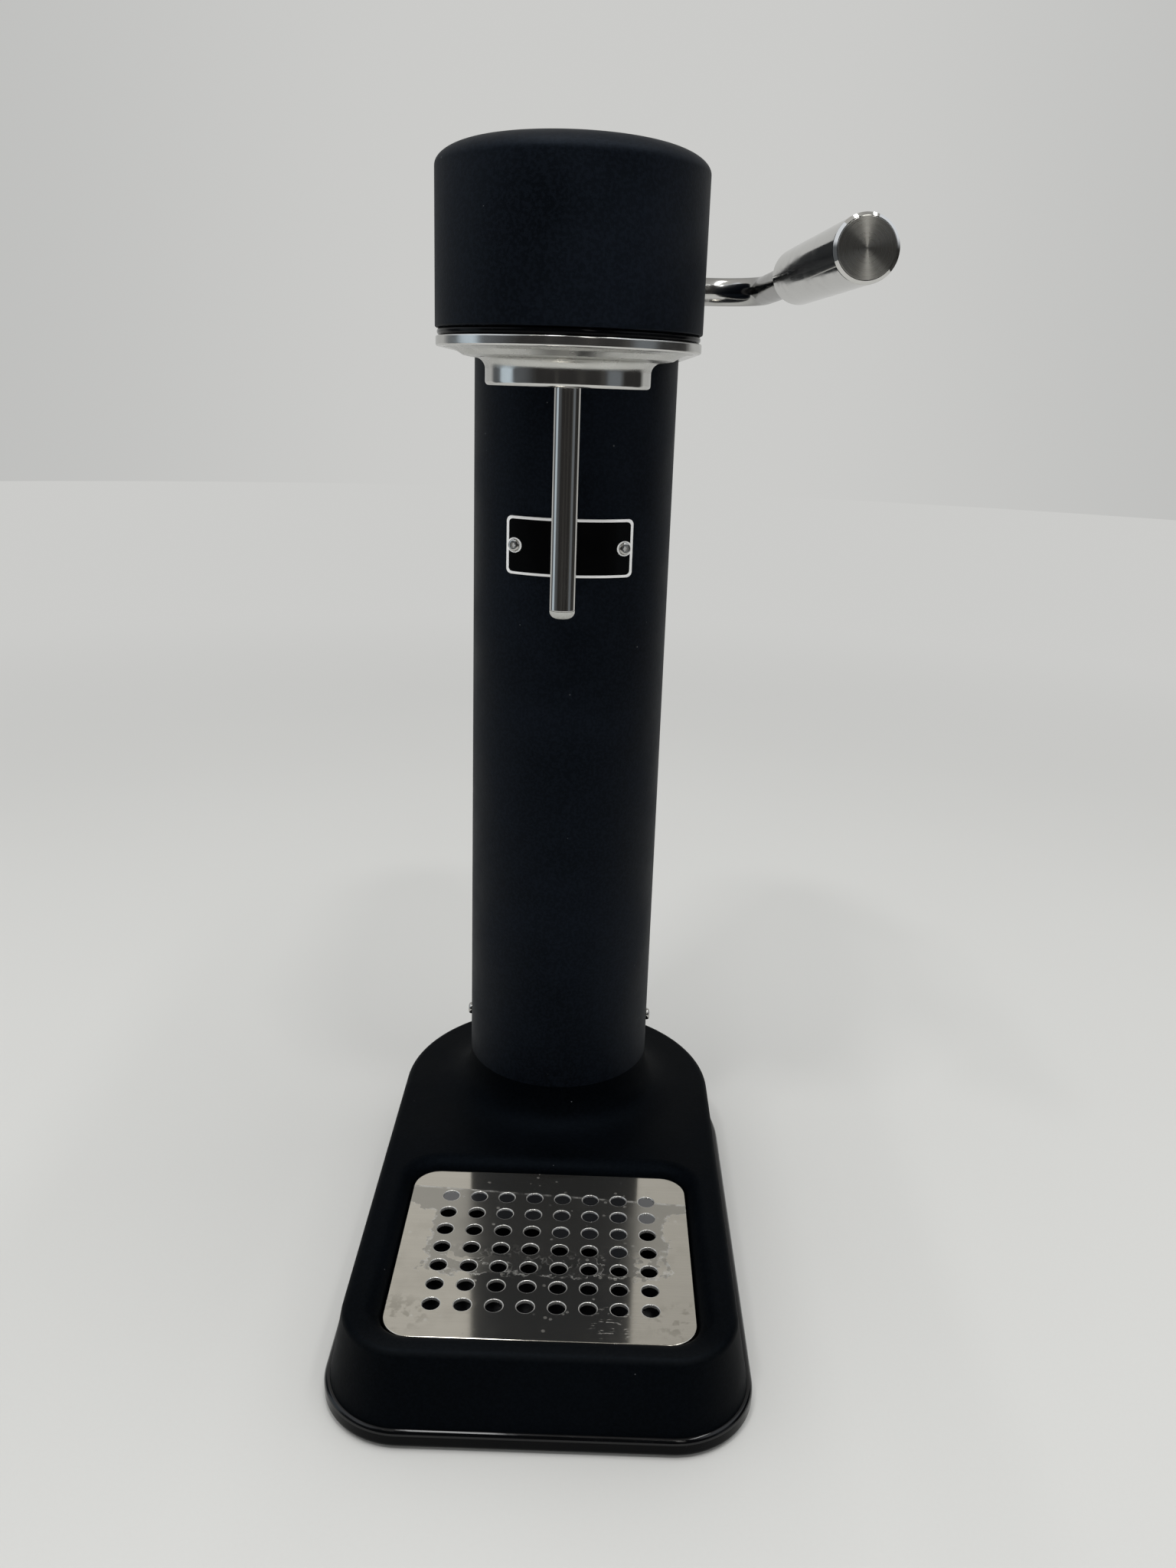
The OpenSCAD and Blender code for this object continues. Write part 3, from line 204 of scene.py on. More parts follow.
# %% Finishes
class Finish:
    """A material or a world, its shader, and one method that adds any node."""

    def __init__(self, name, constants, makes=bpy.data.materials, shader="Principled BSDF"):
        self.material = makes.new(name)
        self.material.use_nodes = True
        self.tree = self.material.node_tree
        self.shader = self.tree.nodes[shader]
        for socket, value in constants.items():
            self.shader.inputs[socket].default_value = value

    def node(self, kind, settings, inputs, output=0):
        made = self.tree.nodes.new(kind)
        for key, value in settings.items():
            setattr(made, key, value)
        for key, value in inputs.items():
            if isinstance(value, Wire):
                self.tree.links.new(value.socket, made.inputs[key])
            else:
                made.inputs[key].default_value = value
        return Wire(self, made.outputs[output])

    def place(self, stretch=(1, 1, 1)):
        """The point on the surface in the piece's own metres, squeezed along its axes."""
        point = self.node("ShaderNodeTexCoord", {}, {}, "Object")
        return self.node("ShaderNodeMapping", {}, {"Vector": point, "Scale": stretch})

    def axis(self, letter):
        point = self.node("ShaderNodeTexCoord", {}, {}, "Object")
        return self.node("ShaderNodeSeparateXYZ", {}, {"Vector": point}, letter)

    def from_axis(self):
        """Distance from the piece's own Z axis, in metres."""
        x, y = self.axis("X"), self.axis("Y")
        return self.node("ShaderNodeMath", {"operation": "SQRT"}, {0: x * x + y * y})

    def noise(self, grain_mm, detail=2.0, stretch=(1, 1, 1), roughness=0.5):
        inputs = {"Vector": self.place(stretch), "Scale": 1 / (grain_mm * MM), "Detail": detail,
                  "Roughness": roughness}
        return self.node("ShaderNodeTexNoise", {}, inputs)

    def cells(self, grain_mm):
        return self.node("ShaderNodeTexVoronoi", {}, {"Vector": self.place(), "Scale": 1 / (grain_mm * MM)})

    def mix(self, share, first, second):
        def colour(value):
            return value if isinstance(value, Wire) else (*value, 1.0)
        inputs = {0: share, 6: colour(first), 7: colour(second)}
        return self.node("ShaderNodeMix", {"data_type": "RGBA"}, inputs, 2)

    def bump(self, height, depth_mm):
        inputs = {"Height": height, "Distance": depth_mm * MM, "Strength": 1.0}
        return self.node("ShaderNodeBump", {}, inputs)

    def seen_directly(self):
        """1 for a camera ray and for a ray that comes off metal or through glass, 0 for soft light."""
        rays = [self.node("ShaderNodeLightPath", {}, {}, f"Is {kind} Ray")
                for kind in ("Camera", "Glossy", "Transmission")]
        return (rays[0] + rays[1] + rays[2]).smaller(1.0)

    def feed(self, sockets):
        for name, wire in sockets.items():
            self.tree.links.new(wire.socket, self.shader.inputs[name])
        return self


print("a finish has:", ", ".join(name for name in vars(Finish) if not name.startswith("__")))

# %% [markdown]
# The column, the head and the base are powder coated: a matt blue-black skin with a fine orange
# peel. The peel is two layers of noise in the bump. Slow clouds vary colour and roughness a
# little, as handling does, and a few pale motes of dust lie on it. The base has a darker, less
# glossy copy of the coat, which is painted shade for the low base under the head. Along its front
# top edge it is painted paler again: partly dust, partly a painted highlight where that edge
# faces the light.

# %% Powder coat
COOL_SHEEN = (0.58, 0.76, 1.0, 1.0)
PEEL_DEPTH = 0.06
DUST_TONE = (0.09, 0.094, 0.098)
DUST_AND_SHEEN_TONE = (0.0052, 0.0058, 0.0064)


def powder_coat(name, tones, shine, dust_and_sheen_edge=None):
    finish = Finish(name, {"Specular IOR Level": shine, "Specular Tint": COOL_SHEEN})
    grain = finish.noise(1.1, 2.0)
    peel = 0.6 * grain + 0.4 * finish.noise(0.45, 1.0)
    cloud = finish.noise(38, 4.0).rise(0.36, 0.68)
    mote_size = finish.noise(11, 0.0).rise(0.46, 0.7) * 0.045
    dust = finish.cells(7.5) < mote_size
    tone = finish.mix(0.5 * cloud + 0.5 * grain.rise(0.42, 0.6), *tones)
    tone = finish.mix(dust * 0.55, tone, DUST_TONE)
    # Along the front top edge the coat is painted paler: partly dust, partly a painted highlight where the
    # edge faces the light.
    if dust_and_sheen_edge:
        ahead = (dust_and_sheen_edge[0] - finish.axis("Y") / MM).rise(-10, 5)
        dust_and_sheen = ahead * (finish.axis("Z") / MM - dust_and_sheen_edge[1]).rise(-2, 0) * (0.5 + 0.5 * grain)
        tone = finish.mix(dust_and_sheen, tone, DUST_AND_SHEEN_TONE)
    rough = 0.5 + 0.09 * cloud + 0.06 * finish.noise(3.5, 2.0)
    return finish.feed({"Base Color": tone, "Roughness": rough, "Normal": finish.bump(peel, PEEL_DEPTH)})


HEAD_TONES = ((0.0003, 0.0006, 0.0015), (0.0032, 0.0046, 0.0078))
# The base's tones are a darker copy of the head's: painted shade for the low base under the head.
BASE_SHADED_TONES = ((0.0003, 0.0006, 0.001), (0.0012, 0.0018, 0.0027))
FRONT_EDGE = (BASE_FRONT + 9, DECK_Z - 0.6)
POWDER = powder_coat("powder_coat", HEAD_TONES, shine=0.13)
BASE_SHADED_POWDER = powder_coat("powder_coat_base_shaded", BASE_SHADED_TONES, shine=0.04, dust_and_sheen_edge=FRONT_EDGE)
print("made", POWDER.material.name, BASE_SHADED_POWDER.material.name)

# %% [markdown]
# The plinth under the base and the gasket under the head are moulded gloss black. Gloss shows
# every touch, so faint wipe marks go into the roughness, and fine dust into the colour as well.
# The plinth's upper edge is rubbed to a higher gloss by years of wiping.

# %% Gloss black
GLOSS_TONE = (0.0012, 0.0014, 0.0018)
GLOSS_DUST = (0.02, 0.021, 0.023)
WAVE_DEPTH = 0.02


def gloss_black(name, shine, smooth):
    finish = Finish(name, {"Specular IOR Level": shine})
    wipe = finish.noise(14, 3.0, (0.25, 1, 1)).rise(0.42, 0.7)
    dust = finish.noise(0.5, 1.0).rise(0.66, 0.78)
    tone = finish.mix(dust * 0.3, GLOSS_TONE, GLOSS_DUST)
    rough = smooth + 0.1 * wipe + 0.12 * dust
    height = finish.noise(6, 1.0)
    return finish.feed({"Base Color": tone, "Roughness": rough, "Normal": finish.bump(height, WAVE_DEPTH)})


GLOSS = gloss_black("gloss_black", shine=0.07, smooth=0.09)
GLOSS_EDGE = gloss_black("gloss_edge", shine=0.4, smooth=0.05)
print("made", GLOSS.material.name, GLOSS_EDGE.material.name)

# %% [markdown]
# The lever, the nozzle and the collar are polished stainless steel: almost a mirror, a little
# warm, with hairline marks left by the polishing wheel and soft finger smudges. The lines run
# round a turned piece and along a drawn tube, so the noise is squeezed along the piece's own axis.
# A tint on the shader darkens the steel a little where it is seen edge on. Dried spray dulls the
# dish above the bottle. Each steel has a tone, a squeeze of its lines, a range of roughness, the
# depth of its lines in millimetres and the tint of its edge.

# %% Polished steel
SPRAY_TONE = (0.5, 0.5, 0.47)


def polished_steel(name, tone, line_stretch, rough, line_depth, edge, dull_z=None):
    finish = Finish(name, {"Metallic": 1.0, "Specular Tint": (edge, edge, edge, 1.0)})
    lines = finish.noise(2.0, 3.0, line_stretch)
    smudge = finish.noise(9, 3.0).rise(0.42, 0.72)
    fleck = finish.noise(1.3, 2.0).rise(0.68, 0.8)
    dull = tuple(channel * 0.9 for channel in tone)
    colour = finish.mix(smudge * 0.5 + lines * 0.25, tone, dull)
    roughness = rough[0] + (rough[1] - rough[0]) * smudge + 0.05 * lines + 0.04 * fleck
    if dull_z:
        blotch = 0.7 + 0.3 * finish.noise(7, 2.0).rise(0.3, 0.7)
        spray = (finish.axis("Z") / MM).rise(dull_z, dull_z + 1) * blotch
        roughness = roughness + 0.2 * spray
        colour = finish.mix(0.6 * spray, colour, SPRAY_TONE)
    normal = finish.bump(lines, line_depth)
    return finish.feed({"Base Color": colour, "Roughness": roughness, "Normal": normal})


STEEL_TONE = (0.66, 0.655, 0.635)
ARM_TONE = (0.58, 0.575, 0.56)
NOZZLE_TONE = (0.6, 0.59, 0.57)
DISH_FROM = COLLAR_LOW.z + 4.6
COLLAR_STEEL = polished_steel("collar_steel", STEEL_TONE, (1, 1, 22), (0.07, 0.13), 0.002, 0.85, DISH_FROM)
GRIP_STEEL = polished_steel("grip_steel", STEEL_TONE, (1, 1, 14), (0.04, 0.1), 0.002, 0.85)
ARM_STEEL = polished_steel("arm_steel", ARM_TONE, (1, 1, 1), (0.1, 0.17), 0.002, 0.6)
RIM_STEEL = polished_steel("rim_steel", STEEL_TONE, (1, 1, 0.06), (0.14, 0.22), 0.004, 0.9)
NOZZLE_STEEL = polished_steel("nozzle_steel", NOZZLE_TONE, (1, 1, 0.05), (0.05, 0.1), 0.001, 0.9)
print("steels:", COLLAR_STEEL.material.name, GRIP_STEEL.material.name, NOZZLE_STEEL.material.name)

# %% [markdown]
# The front end of the grip is faced on a lathe. Its fine rings throw the bright wedges that turn
# with the light. Anisotropic gloss gives them: with no other direction given, Cycles takes the
# grain round the piece's own Z axis, so this piece is turned about its own Z axis.

# %% Turned face
TOOL_RING, RING_DEPTH = 0.35, 0.0015
VALLEY_TONE, CREST_TONE = (0.4, 0.39, 0.365), (0.58, 0.57, 0.54)


def turned_face():
    settings = {"Metallic": 1.0, "Anisotropic": 0.9, "Anisotropic Rotation": 0.25}
    finish = Finish("turned_face", settings)
    ring_point = finish.node("ShaderNodeCombineXYZ", {}, {"X": finish.from_axis()})
    inputs = {"Vector": ring_point, "Scale": 1 / (TOOL_RING * MM), "Detail": 2.0}
    rings = finish.node("ShaderNodeTexNoise", {}, inputs)
    colour = finish.mix(rings, VALLEY_TONE, CREST_TONE)
    rough = 0.24 + 0.08 * rings
    return finish.feed({"Base Color": colour, "Roughness": rough, "Normal": finish.bump(rings, RING_DEPTH)})


TURNED = turned_face()
print("made", TURNED.material.name)

# %% [markdown]
# Water has dried on the middle of the perforated plate: a grey film with a ragged edge, a brighter
# tide line round it, and loose drops beside it. Each is a mask made of distances from the film's
# edge, with noise added so that the edge wanders. In front the film breaks up into dry patches.

# %% Dried water
FILM_MIDDLE, FILM_HALF_W, FILM_FLARE = 0.8, 46, 14
FILM_BACK, FILM_AHEAD = 33.5, 14.5
FILM_SKEW = 0.066


def dried_water(finish, x, y):
    """Masks of the film, its tide line and the drops, from a place on the plate in millimetres."""
    ragged = 13 * (finish.noise(8, 5.0, (1, 1, 1), 0.62) - 0.5) + 5 * (finish.noise(2.4, 3.0) - 0.5)
    flare = FILM_HALF_W + FILM_FLARE * (y + 0.5 * ragged).rise(21, 28)
    sides = flare - abs(x - FILM_MIDDLE) + ragged
    ends = (FILM_BACK - FILM_SKEW * x - y).smaller(y + FILM_AHEAD + 1.2 * ragged)
    inside = sides.smaller(ends)
    dry = finish.noise(5.0, 4.0)
    in_front = 1 - (y + FILM_AHEAD).rise(3, 20)
    film = inside.rise(-0.2, 0.4) * (1 - in_front * dry.rise(0.53, 0.55))
    edge = inside.rise(-0.2, 0.2) * (1 - inside.rise(0.5, 1.6))
    patch_edge = (dry.rise(0.51, 0.53) - dry.rise(0.54, 0.56)) * in_front
    tide = edge.larger(patch_edge * inside.rise(0.0, 1.0)) * finish.noise(3.2, 2.0).rise(0.36, 0.6)
    spots = (1 - finish.cells(4.6).rise(0.13, 0.17)) * finish.noise(17, 1.0).rise(0.5, 0.56)
    return film, tide, spots


print("the film is", FILM_BACK + FILM_AHEAD, "mm deep on the plate")

# %% [markdown]
# The plate itself is brushed stainless sheet, the lines running from side to side. The film raises
# roughness, so the dark reflection of the column grows pale inside it, just as on the real plate.
# A scuff at the front right and brown stains near the front corners are two more masks.

# %% Brushed plate
SCUFF_X, SCUFF_AHEAD = 26, 38
STAIN_X, STAIN_AHEAD = 53, 36
CLEAN_TONES = ((0.74, 0.705, 0.63), (0.54, 0.512, 0.45))
FILM_TONE = (0.42, 0.405, 0.368)
STAIN_TONE = (0.33, 0.31, 0.26)
LIME_TONE = (0.72, 0.71, 0.68)
BRUSH_DEPTH = 0.004


def squared(wire):
    return wire * wire


def brushed_plate():
    finish = Finish("brushed_plate", {})
    lines = finish.noise(0.5, 3.0, (0.012, 1, 1), 0.6)
    broad = finish.noise(4.5, 2.0, (0.02, 1, 1))
    smudge = finish.noise(15, 4.0).rise(0.5, 0.72)
    x = finish.axis("X") / MM
    y = finish.axis("Y") / MM - GRATE_Y
    film, tide, spots = dried_water(finish, x, y)
    scuff_place = squared(x - SCUFF_X) + squared(y + SCUFF_AHEAD)
    scuff = finish.noise(1.6, 3.0, (0.55, 1.5, 1)).rise(0.58, 0.66) * (1 - scuff_place.rise(20, 110))
    stain_place = 0.4 * squared(abs(x) - STAIN_X) + squared(y + STAIN_AHEAD)
    stain = finish.noise(3.4, 4.0).rise(0.46, 0.6) * (1 - stain_place.rise(10, 130))
    colour = finish.mix(0.5 * lines + 0.25 * broad + 0.25 * smudge, *CLEAN_TONES)
    colour = finish.mix(film * 0.9, colour, FILM_TONE)
    colour = finish.mix(stain * 0.5, colour, STAIN_TONE)
    colour = finish.mix(tide * 0.6 + spots * 0.3 + scuff * 0.5, colour, LIME_TONE)
    rough = 0.05 + 0.05 * lines + 0.05 * smudge + 0.08 * film + 0.12 * tide + 0.12 * spots + 0.14 * scuff
    metal = 0.98 - 0.02 * film - 0.16 * tide - 0.1 * spots - 0.2 * scuff
    normal = finish.bump(0.3 * lines + 0.2 * film + 0.4 * tide + 0.25 * spots, BRUSH_DEPTH)
    return finish.feed({"Base Color": colour, "Roughness": rough, "Metallic": metal, "Normal": normal})


PLATE_STEEL = brushed_plate()
print("made", PLATE_STEEL.material.name)

# %% [markdown]
# The other finishes are variations on a few themes: moulded plastic and rubber with a fine grain,
# turned brass with tool lines, cast and drawn alloy, plated screws, black enamel on the badge.
# One function makes them all, from a pair of tones, the size and the depth of the grain in
# millimetres and a range of roughness, and for metals a share of metal and a squeeze of the grain.

# %% Plain finishes
def grained(name, tones, grain_mm, depth_mm, rough, metal=0.0, stretch=(1, 1, 1), more=None):
    finish = Finish(name, {"Metallic": metal, **(more or {})})
    grain = finish.noise(grain_mm, 3.0, stretch)
    cloud = finish.noise(grain_mm * 18, 3.0).rise(0.34, 0.68)
    colour = finish.mix(0.6 * cloud + 0.4 * grain, *tones)
    roughness = rough[0] + (rough[1] - rough[0]) * (0.5 * cloud + 0.5 * grain)
    return finish.feed({"Base Color": colour, "Roughness": roughness, "Normal": finish.bump(grain, depth_mm)})


RUBBER = grained("rubber", ((0.012, 0.012, 0.013), (0.022, 0.022, 0.023)), 0.4, 0.03, (0.6, 0.8))
SILICONE = grained("silicone", ((0.5, 0.51, 0.49), (0.6, 0.61, 0.59)), 0.6, 0.01, (0.35, 0.5))
INNER = grained("inner_plastic", ((0.01, 0.0105, 0.0115), (0.018, 0.0185, 0.02)), 0.5, 0.02, (0.4, 0.55))
TRAY = grained("tray_plastic", ((0.006, 0.0065, 0.0075), (0.012, 0.0125, 0.014)), 0.8, 0.008, (0.1, 0.22))
SCREW = grained("screw_steel", ((0.42, 0.41, 0.39), (0.52, 0.51, 0.49)), 0.3, 0.002, (0.1, 0.22), 1.0)
PLAIN = grained("plain_steel", ((0.42, 0.42, 0.42), (0.56, 0.56, 0.55)), 0.35, 0.004, (0.25, 0.4), 1.0,
                (1, 1, 8))
CAST = grained("cast_alloy", ((0.4, 0.41, 0.42), (0.52, 0.53, 0.54)), 0.5, 0.03, (0.4, 0.58), 1.0)
DRAWN = grained("drawn_alloy", ((0.5, 0.51, 0.52), (0.62, 0.63, 0.64)), 0.6, 0.006, (0.28, 0.4), 1.0,
                (1, 1, 0.05))
BRASS = grained("brass", ((0.56, 0.4, 0.16), (0.7, 0.53, 0.25)), 0.4, 0.006, (0.2, 0.36), 1.0, (1, 1, 9))
COPPER = grained("copper", ((0.6, 0.3, 0.17), (0.72, 0.4, 0.25)), 0.6, 0.004, (0.2, 0.36), 1.0)
ENAMEL = grained("badge_enamel", ((0.001, 0.0011, 0.0013), (0.002, 0.0021, 0.0024)), 1.2, 0.004, (0.08, 0.16),
                 more={"Specular IOR Level": 0.1})
# The badge's bare edge is painted near white: a painted reflection, standing in for bright light on polished
# metal.
BADGE_EDGE = grained("badge_edge_painted_shine", ((0.94, 0.94, 0.93), (0.98, 0.98, 0.97)), 0.5, 0.003, (0.3, 0.42), 0.1)
RED = grained("red_cap", ((0.32, 0.03, 0.02), (0.4, 0.045, 0.03)), 0.5, 0.015, (0.35, 0.5))
TIP = grained("tip_plastic", ((0.44, 0.44, 0.41), (0.56, 0.56, 0.53)), 0.7, 0.01, (0.22, 0.36))
print("finishes:", len(bpy.data.materials))

# %% [markdown]
# Nearly every piece here is a profile carried along an outline: round a circle, round the long
# head, round the base. So the mesh helpers speak of rings: a ring is an outline drawn at one
# inset and one height. An outline is kept as anchors, each with the middle, the radius and the
# direction of its arc, so that every inset of it is exact.

# %% Outlines and profiles
HOLD = 0.25
HOLD_OVER = 1.5


def outline(arcs, step=2.5):
    """Anchors along arcs (x, y, radius, first turn, last turn), in millimetres and degrees."""
    anchors = []
    for x, y, radius, first, last in arcs:
        steps = max(1, round(abs(last - first) / step))
        whole = abs(last - first) >= 360
        for i in range(steps if whole else steps + 1):
            turn = radians(first + (last - first) * i / steps)
            anchors.append((x, y, radius, cos(turn), sin(turn)))
    return anchors


def ring_at(anchors, inset, z):
    return [Vector((x + (r - inset) * c, y + (r - inset) * s, z)) * MM for x, y, r, c, s in anchors]


def rounded_box(half_w, half_d, corner, y, step=5):
    x, d = half_w - corner, half_d - corner
    return outline([(x, y + d, corner, 0, 90), (-x, y + d, corner, 90, 180),
                    (-x, y - d, corner, 180, 270), (x, y - d, corner, 270, 360)], step)


def arc(centre, radius, first, last, steps=8, squash=1.0):
    """Points of a round corner in a profile, or of an oval one where it is squashed in height."""
    turns = [radians(first + (last - first) * i / steps) for i in range(steps + 1)]
    return [(centre[0] + radius * cos(t), centre[1] + squash * radius * sin(t)) for t in turns]


def held(profile):
    """Adds a ring near each end of a long straight run, so that soft shading stays in the rolls."""
    points = [profile[0]]
    for start, end in zip(profile, profile[1:]):
        run = (end[0] - start[0], end[1] - start[1])
        length = sqrt(run[0] * run[0] + run[1] * run[1])
        if length > HOLD_OVER:
            for share in (HOLD / length, 1 - HOLD / length):
                points.append((start[0] + share * run[0], start[1] + share * run[1]))
        points.append(end)
    return points


print("a straight run of 10 mm is held by", len(held([(0, 0), (10, 0)])) - 2, "more rings")

# %% [markdown]
# A shape collects its faces in a bmesh and becomes an object at the end: a skin joins two rings,
# and a fill closes a flat between rings. A turned piece is made of rings too, one for each point
# of its profile. Shading is smooth, except where two faces meet at a clear angle.

# %% Shapes
SHARP = 32
STEPS, FINE_STEPS, SMALL_STEPS = 96, 180, 64


def soften(mesh, sharp=SHARP):
    mesh.shade_smooth()
    mesh.set_sharp_from_angle(angle=radians(sharp))


class Shape:
    """A mesh in the making: rings, skins between rings, caps and fills."""

    def __init__(self):
        self.mesh = bmesh.new()
        self.finish = 0

    def ring(self, points):
        return [self.mesh.verts.new(point) for point in points]

    def face(self, corners):
        self.mesh.faces.new(corners).material_index = self.finish

    def skin(self, first, second, closed=True):
        count = len(first)
        for i in range(count if closed else count - 1):
            j = (i + 1) % count
            self.face((first[i], first[j], second[j], second[i]))

    def skins(self, rings):
        made = [self.ring(points) for points in rings]
        for first, second in zip(made, made[1:]):
            self.skin(first, second)
        return made

    def capped(self, rings):
        made = self.skins(rings)
        self.face(made[0])
        self.face(made[-1])

    def fill(self, *rings):
        edges = []
        for ring in rings:
            for start, end in zip(ring, ring[1:] + ring[:1]):
                edges.append(self.mesh.edges.get((start, end)) or self.mesh.edges.new((start, end)))
        filled = bmesh.ops.triangle_fill(self.mesh, use_beauty=True, use_dissolve=False, edges=edges)
        for made in filled["geom"]:
            if isinstance(made, bmesh.types.BMFace):
                made.material_index = self.finish

    def sweep(self, anchors, profile, close_first=False, close_last=False):
        """Carries a profile of (inset, height) along an outline."""
        rings = self.skins([ring_at(anchors, inset, z) for inset, z in held(profile)])
        if close_first:
            self.face(rings[0])
        if close_last:
            self.face(rings[-1])
        return rings

    def tube(self, path, radius, sides):
        """A round bar along a path of (middle in millimetres, level direction across it)."""
        turns = [2 * pi * i / sides for i in range(sides)]
        up = Vector((0, 0, 1))
        self.capped([[(middle + radius * (cos(t) * across + sin(t) * up)) * MM for t in turns]
                     for middle, across in path])

    def turn(self, centre, profile, steps=STEPS, closed=False):
        """Turns a profile of (radius, height) about an upright axis. Radius 0 is a single point."""
        rings = []
        for radius, z in held(profile):
            around = outline([(*centre, radius, 0, 360)], 360 / steps if radius else 360)
            rings.append(self.ring(ring_at(around, 0, z)))
        pairs = list(zip(rings, rings[1:]))
        if closed:
            pairs.append((rings[-1], rings[0]))
        for first, second in pairs:
            if len(first) == len(second):
                self.skin(first, second)
            else:
                tip, edge = (first[0], second) if len(first) == 1 else (second[0], first)
                for start, end in zip(edge, edge[1:] + edge[:1]):
                    self.face((start, end, tip))

    def to_object(self, name, finishes, sharp=SHARP):
        bmesh.ops.recalc_face_normals(self.mesh, faces=self.mesh.faces)
        mesh = bpy.data.meshes.new(name)
        self.mesh.to_mesh(mesh)
        self.mesh.free()
        for finish in finishes:
            mesh.materials.append(finish.material)
        soften(mesh, sharp)
        made = bpy.data.objects.new(name, mesh)
        bpy.context.scene.collection.objects.link(made)
        return made


print("a shape has:", ", ".join(name for name in vars(Shape) if not name.startswith("__")))

# %% [markdown]
# The last helpers cut holes and hand pieces over. A hole is cut by subtracting a plain rod, and the
# cut is kept in the mesh. Each finished piece is hung on the CAD body that it rides on, and the CAD
# nodes that it stands for are hidden.

# %% Holes and handing over
def disc(radius, first, last):
    """Profile of a plain disc or rod, from one height to another."""
    return [(0, first), (radius, first), (radius, last), (0, last)]


def drill(centre, profile, steps, finish):
    shape = Shape()
    shape.turn(centre, profile, steps)
    return shape.to_object("drill", [finish])


def cut_away(piece, tool):
    """Subtracts one object from another for good."""
    cutter = piece.modifiers.new("cut", "BOOLEAN")
    cutter.operation = "DIFFERENCE"
    cutter.solver = "EXACT"
    cutter.object = tool
    bpy.context.view_layer.update()
    cut_mesh = bpy.data.meshes.new_from_object(piece.evaluated_get(bpy.context.evaluated_depsgraph_get()))
    piece.modifiers.clear()
    piece.data = cut_mesh
    bpy.data.objects.remove(tool)
    return piece


def settle(piece, body, slot, *nodes):
    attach(piece, body)
    if nodes:
        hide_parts(*nodes)
    print("piece", piece.name, len(piece.data.polygons), "faces on", body)
    return piece


# %% [markdown]
# The base is one soft coated form. Its sides lean in and roll over into the deck, the deck rolls
# down into the pocket, and a hollow sweep joins it to the column. The rolls are arcs in the
# profiles, so light runs over them without a break. First come the two outlines that the profiles
# follow. The front stands more upright than the sides, so there the directions are shortened.

# %% Outlines of the base
BASE_CORNER = 30
BASE_ARCS = [(0, COLUMN_Y, BASE_R, 0, 180),
             (BASE_CORNER - BASE_R, BASE_FRONT + BASE_CORNER, BASE_CORNER, 180, 270),
             (BASE_R - BASE_CORNER, BASE_FRONT + BASE_CORNER, BASE_CORNER, 270, 360)]
FRONT_UPRIGHT = 0.2
POCKET_GAP = 0.5
GRATE_CORNER = 10.5

base_anchors = outline(BASE_ARCS)
cover_anchors = [(x, y + FRONT_UPRIGHT * r * s, r, c, (1 - FRONT_UPRIGHT) * s) if s < 0 else (x, y, r, c, s)
                 for x, y, r, c, s in base_anchors]
grate_half_w, grate_half_d = half_sizes(GRATE_LOW, GRATE_HIGH)
pocket_anchors = rounded_box(grate_half_w + POCKET_GAP, grate_half_d + POCKET_GAP,
                             GRATE_CORNER + POCKET_GAP, GRATE_Y)
print("anchors:", len(base_anchors), "round the base,", len(pocket_anchors), "round the pocket")

# %% [markdown]
# The cover is three sweeps, the side, the pocket's lip and the hollow flare round the column, with
# the deck filled in between them. A second, inner skin gives it its wall.

# %% Base cover
LEDGE = 2.0
LEAN = 4.6
EDGE_ROUND = 3.0
SHELL_WALL = 2.5
LIP_ROUND = 6.6
FLAT_EDGE = 0.2
FLARE_REACH = 19.0
FLARE_POWER = 0.46
FLARE_STEP = 0.04
FLARE_STEPS = 28
POCKET_RIM = 7.0
PLINTH_TOP = PLINTH_HIGH.z


def base_side(inset, foot_z, top_z, edge):
    """Side profile: a straight lean that runs on into the rolled upper edge."""
    centre = (inset + LEAN + edge, top_z - edge)
    run, climb = centre[0] - inset, centre[1] - foot_z
    start = acos(edge / sqrt(run * run + climb * climb)) - atan2(climb, run)
    roll = arc(centre, edge, 180 - start * 180 / pi, 90, 12)
    return [(inset, foot_z)] + roll + [(centre[0] + FLAT_EDGE, top_z)]


def soft_flare():
    """Hollow sweep from the deck up to the column, its bend fading out towards both ends."""
    points = [(COLUMN_R + FLARE_STEP + FLARE_REACH + FLAT_EDGE, DECK_Z)]
    for i in range(FLARE_STEPS + 1):
        turn = pi / 2 * i / FLARE_STEPS
        out = FLARE_REACH * cos(turn) ** (2 / FLARE_POWER)
        up = FLARE_REACH * sin(turn) ** (2 / FLARE_POWER)
        points.append((COLUMN_R + FLARE_STEP + out, DECK_Z + up))
    return points


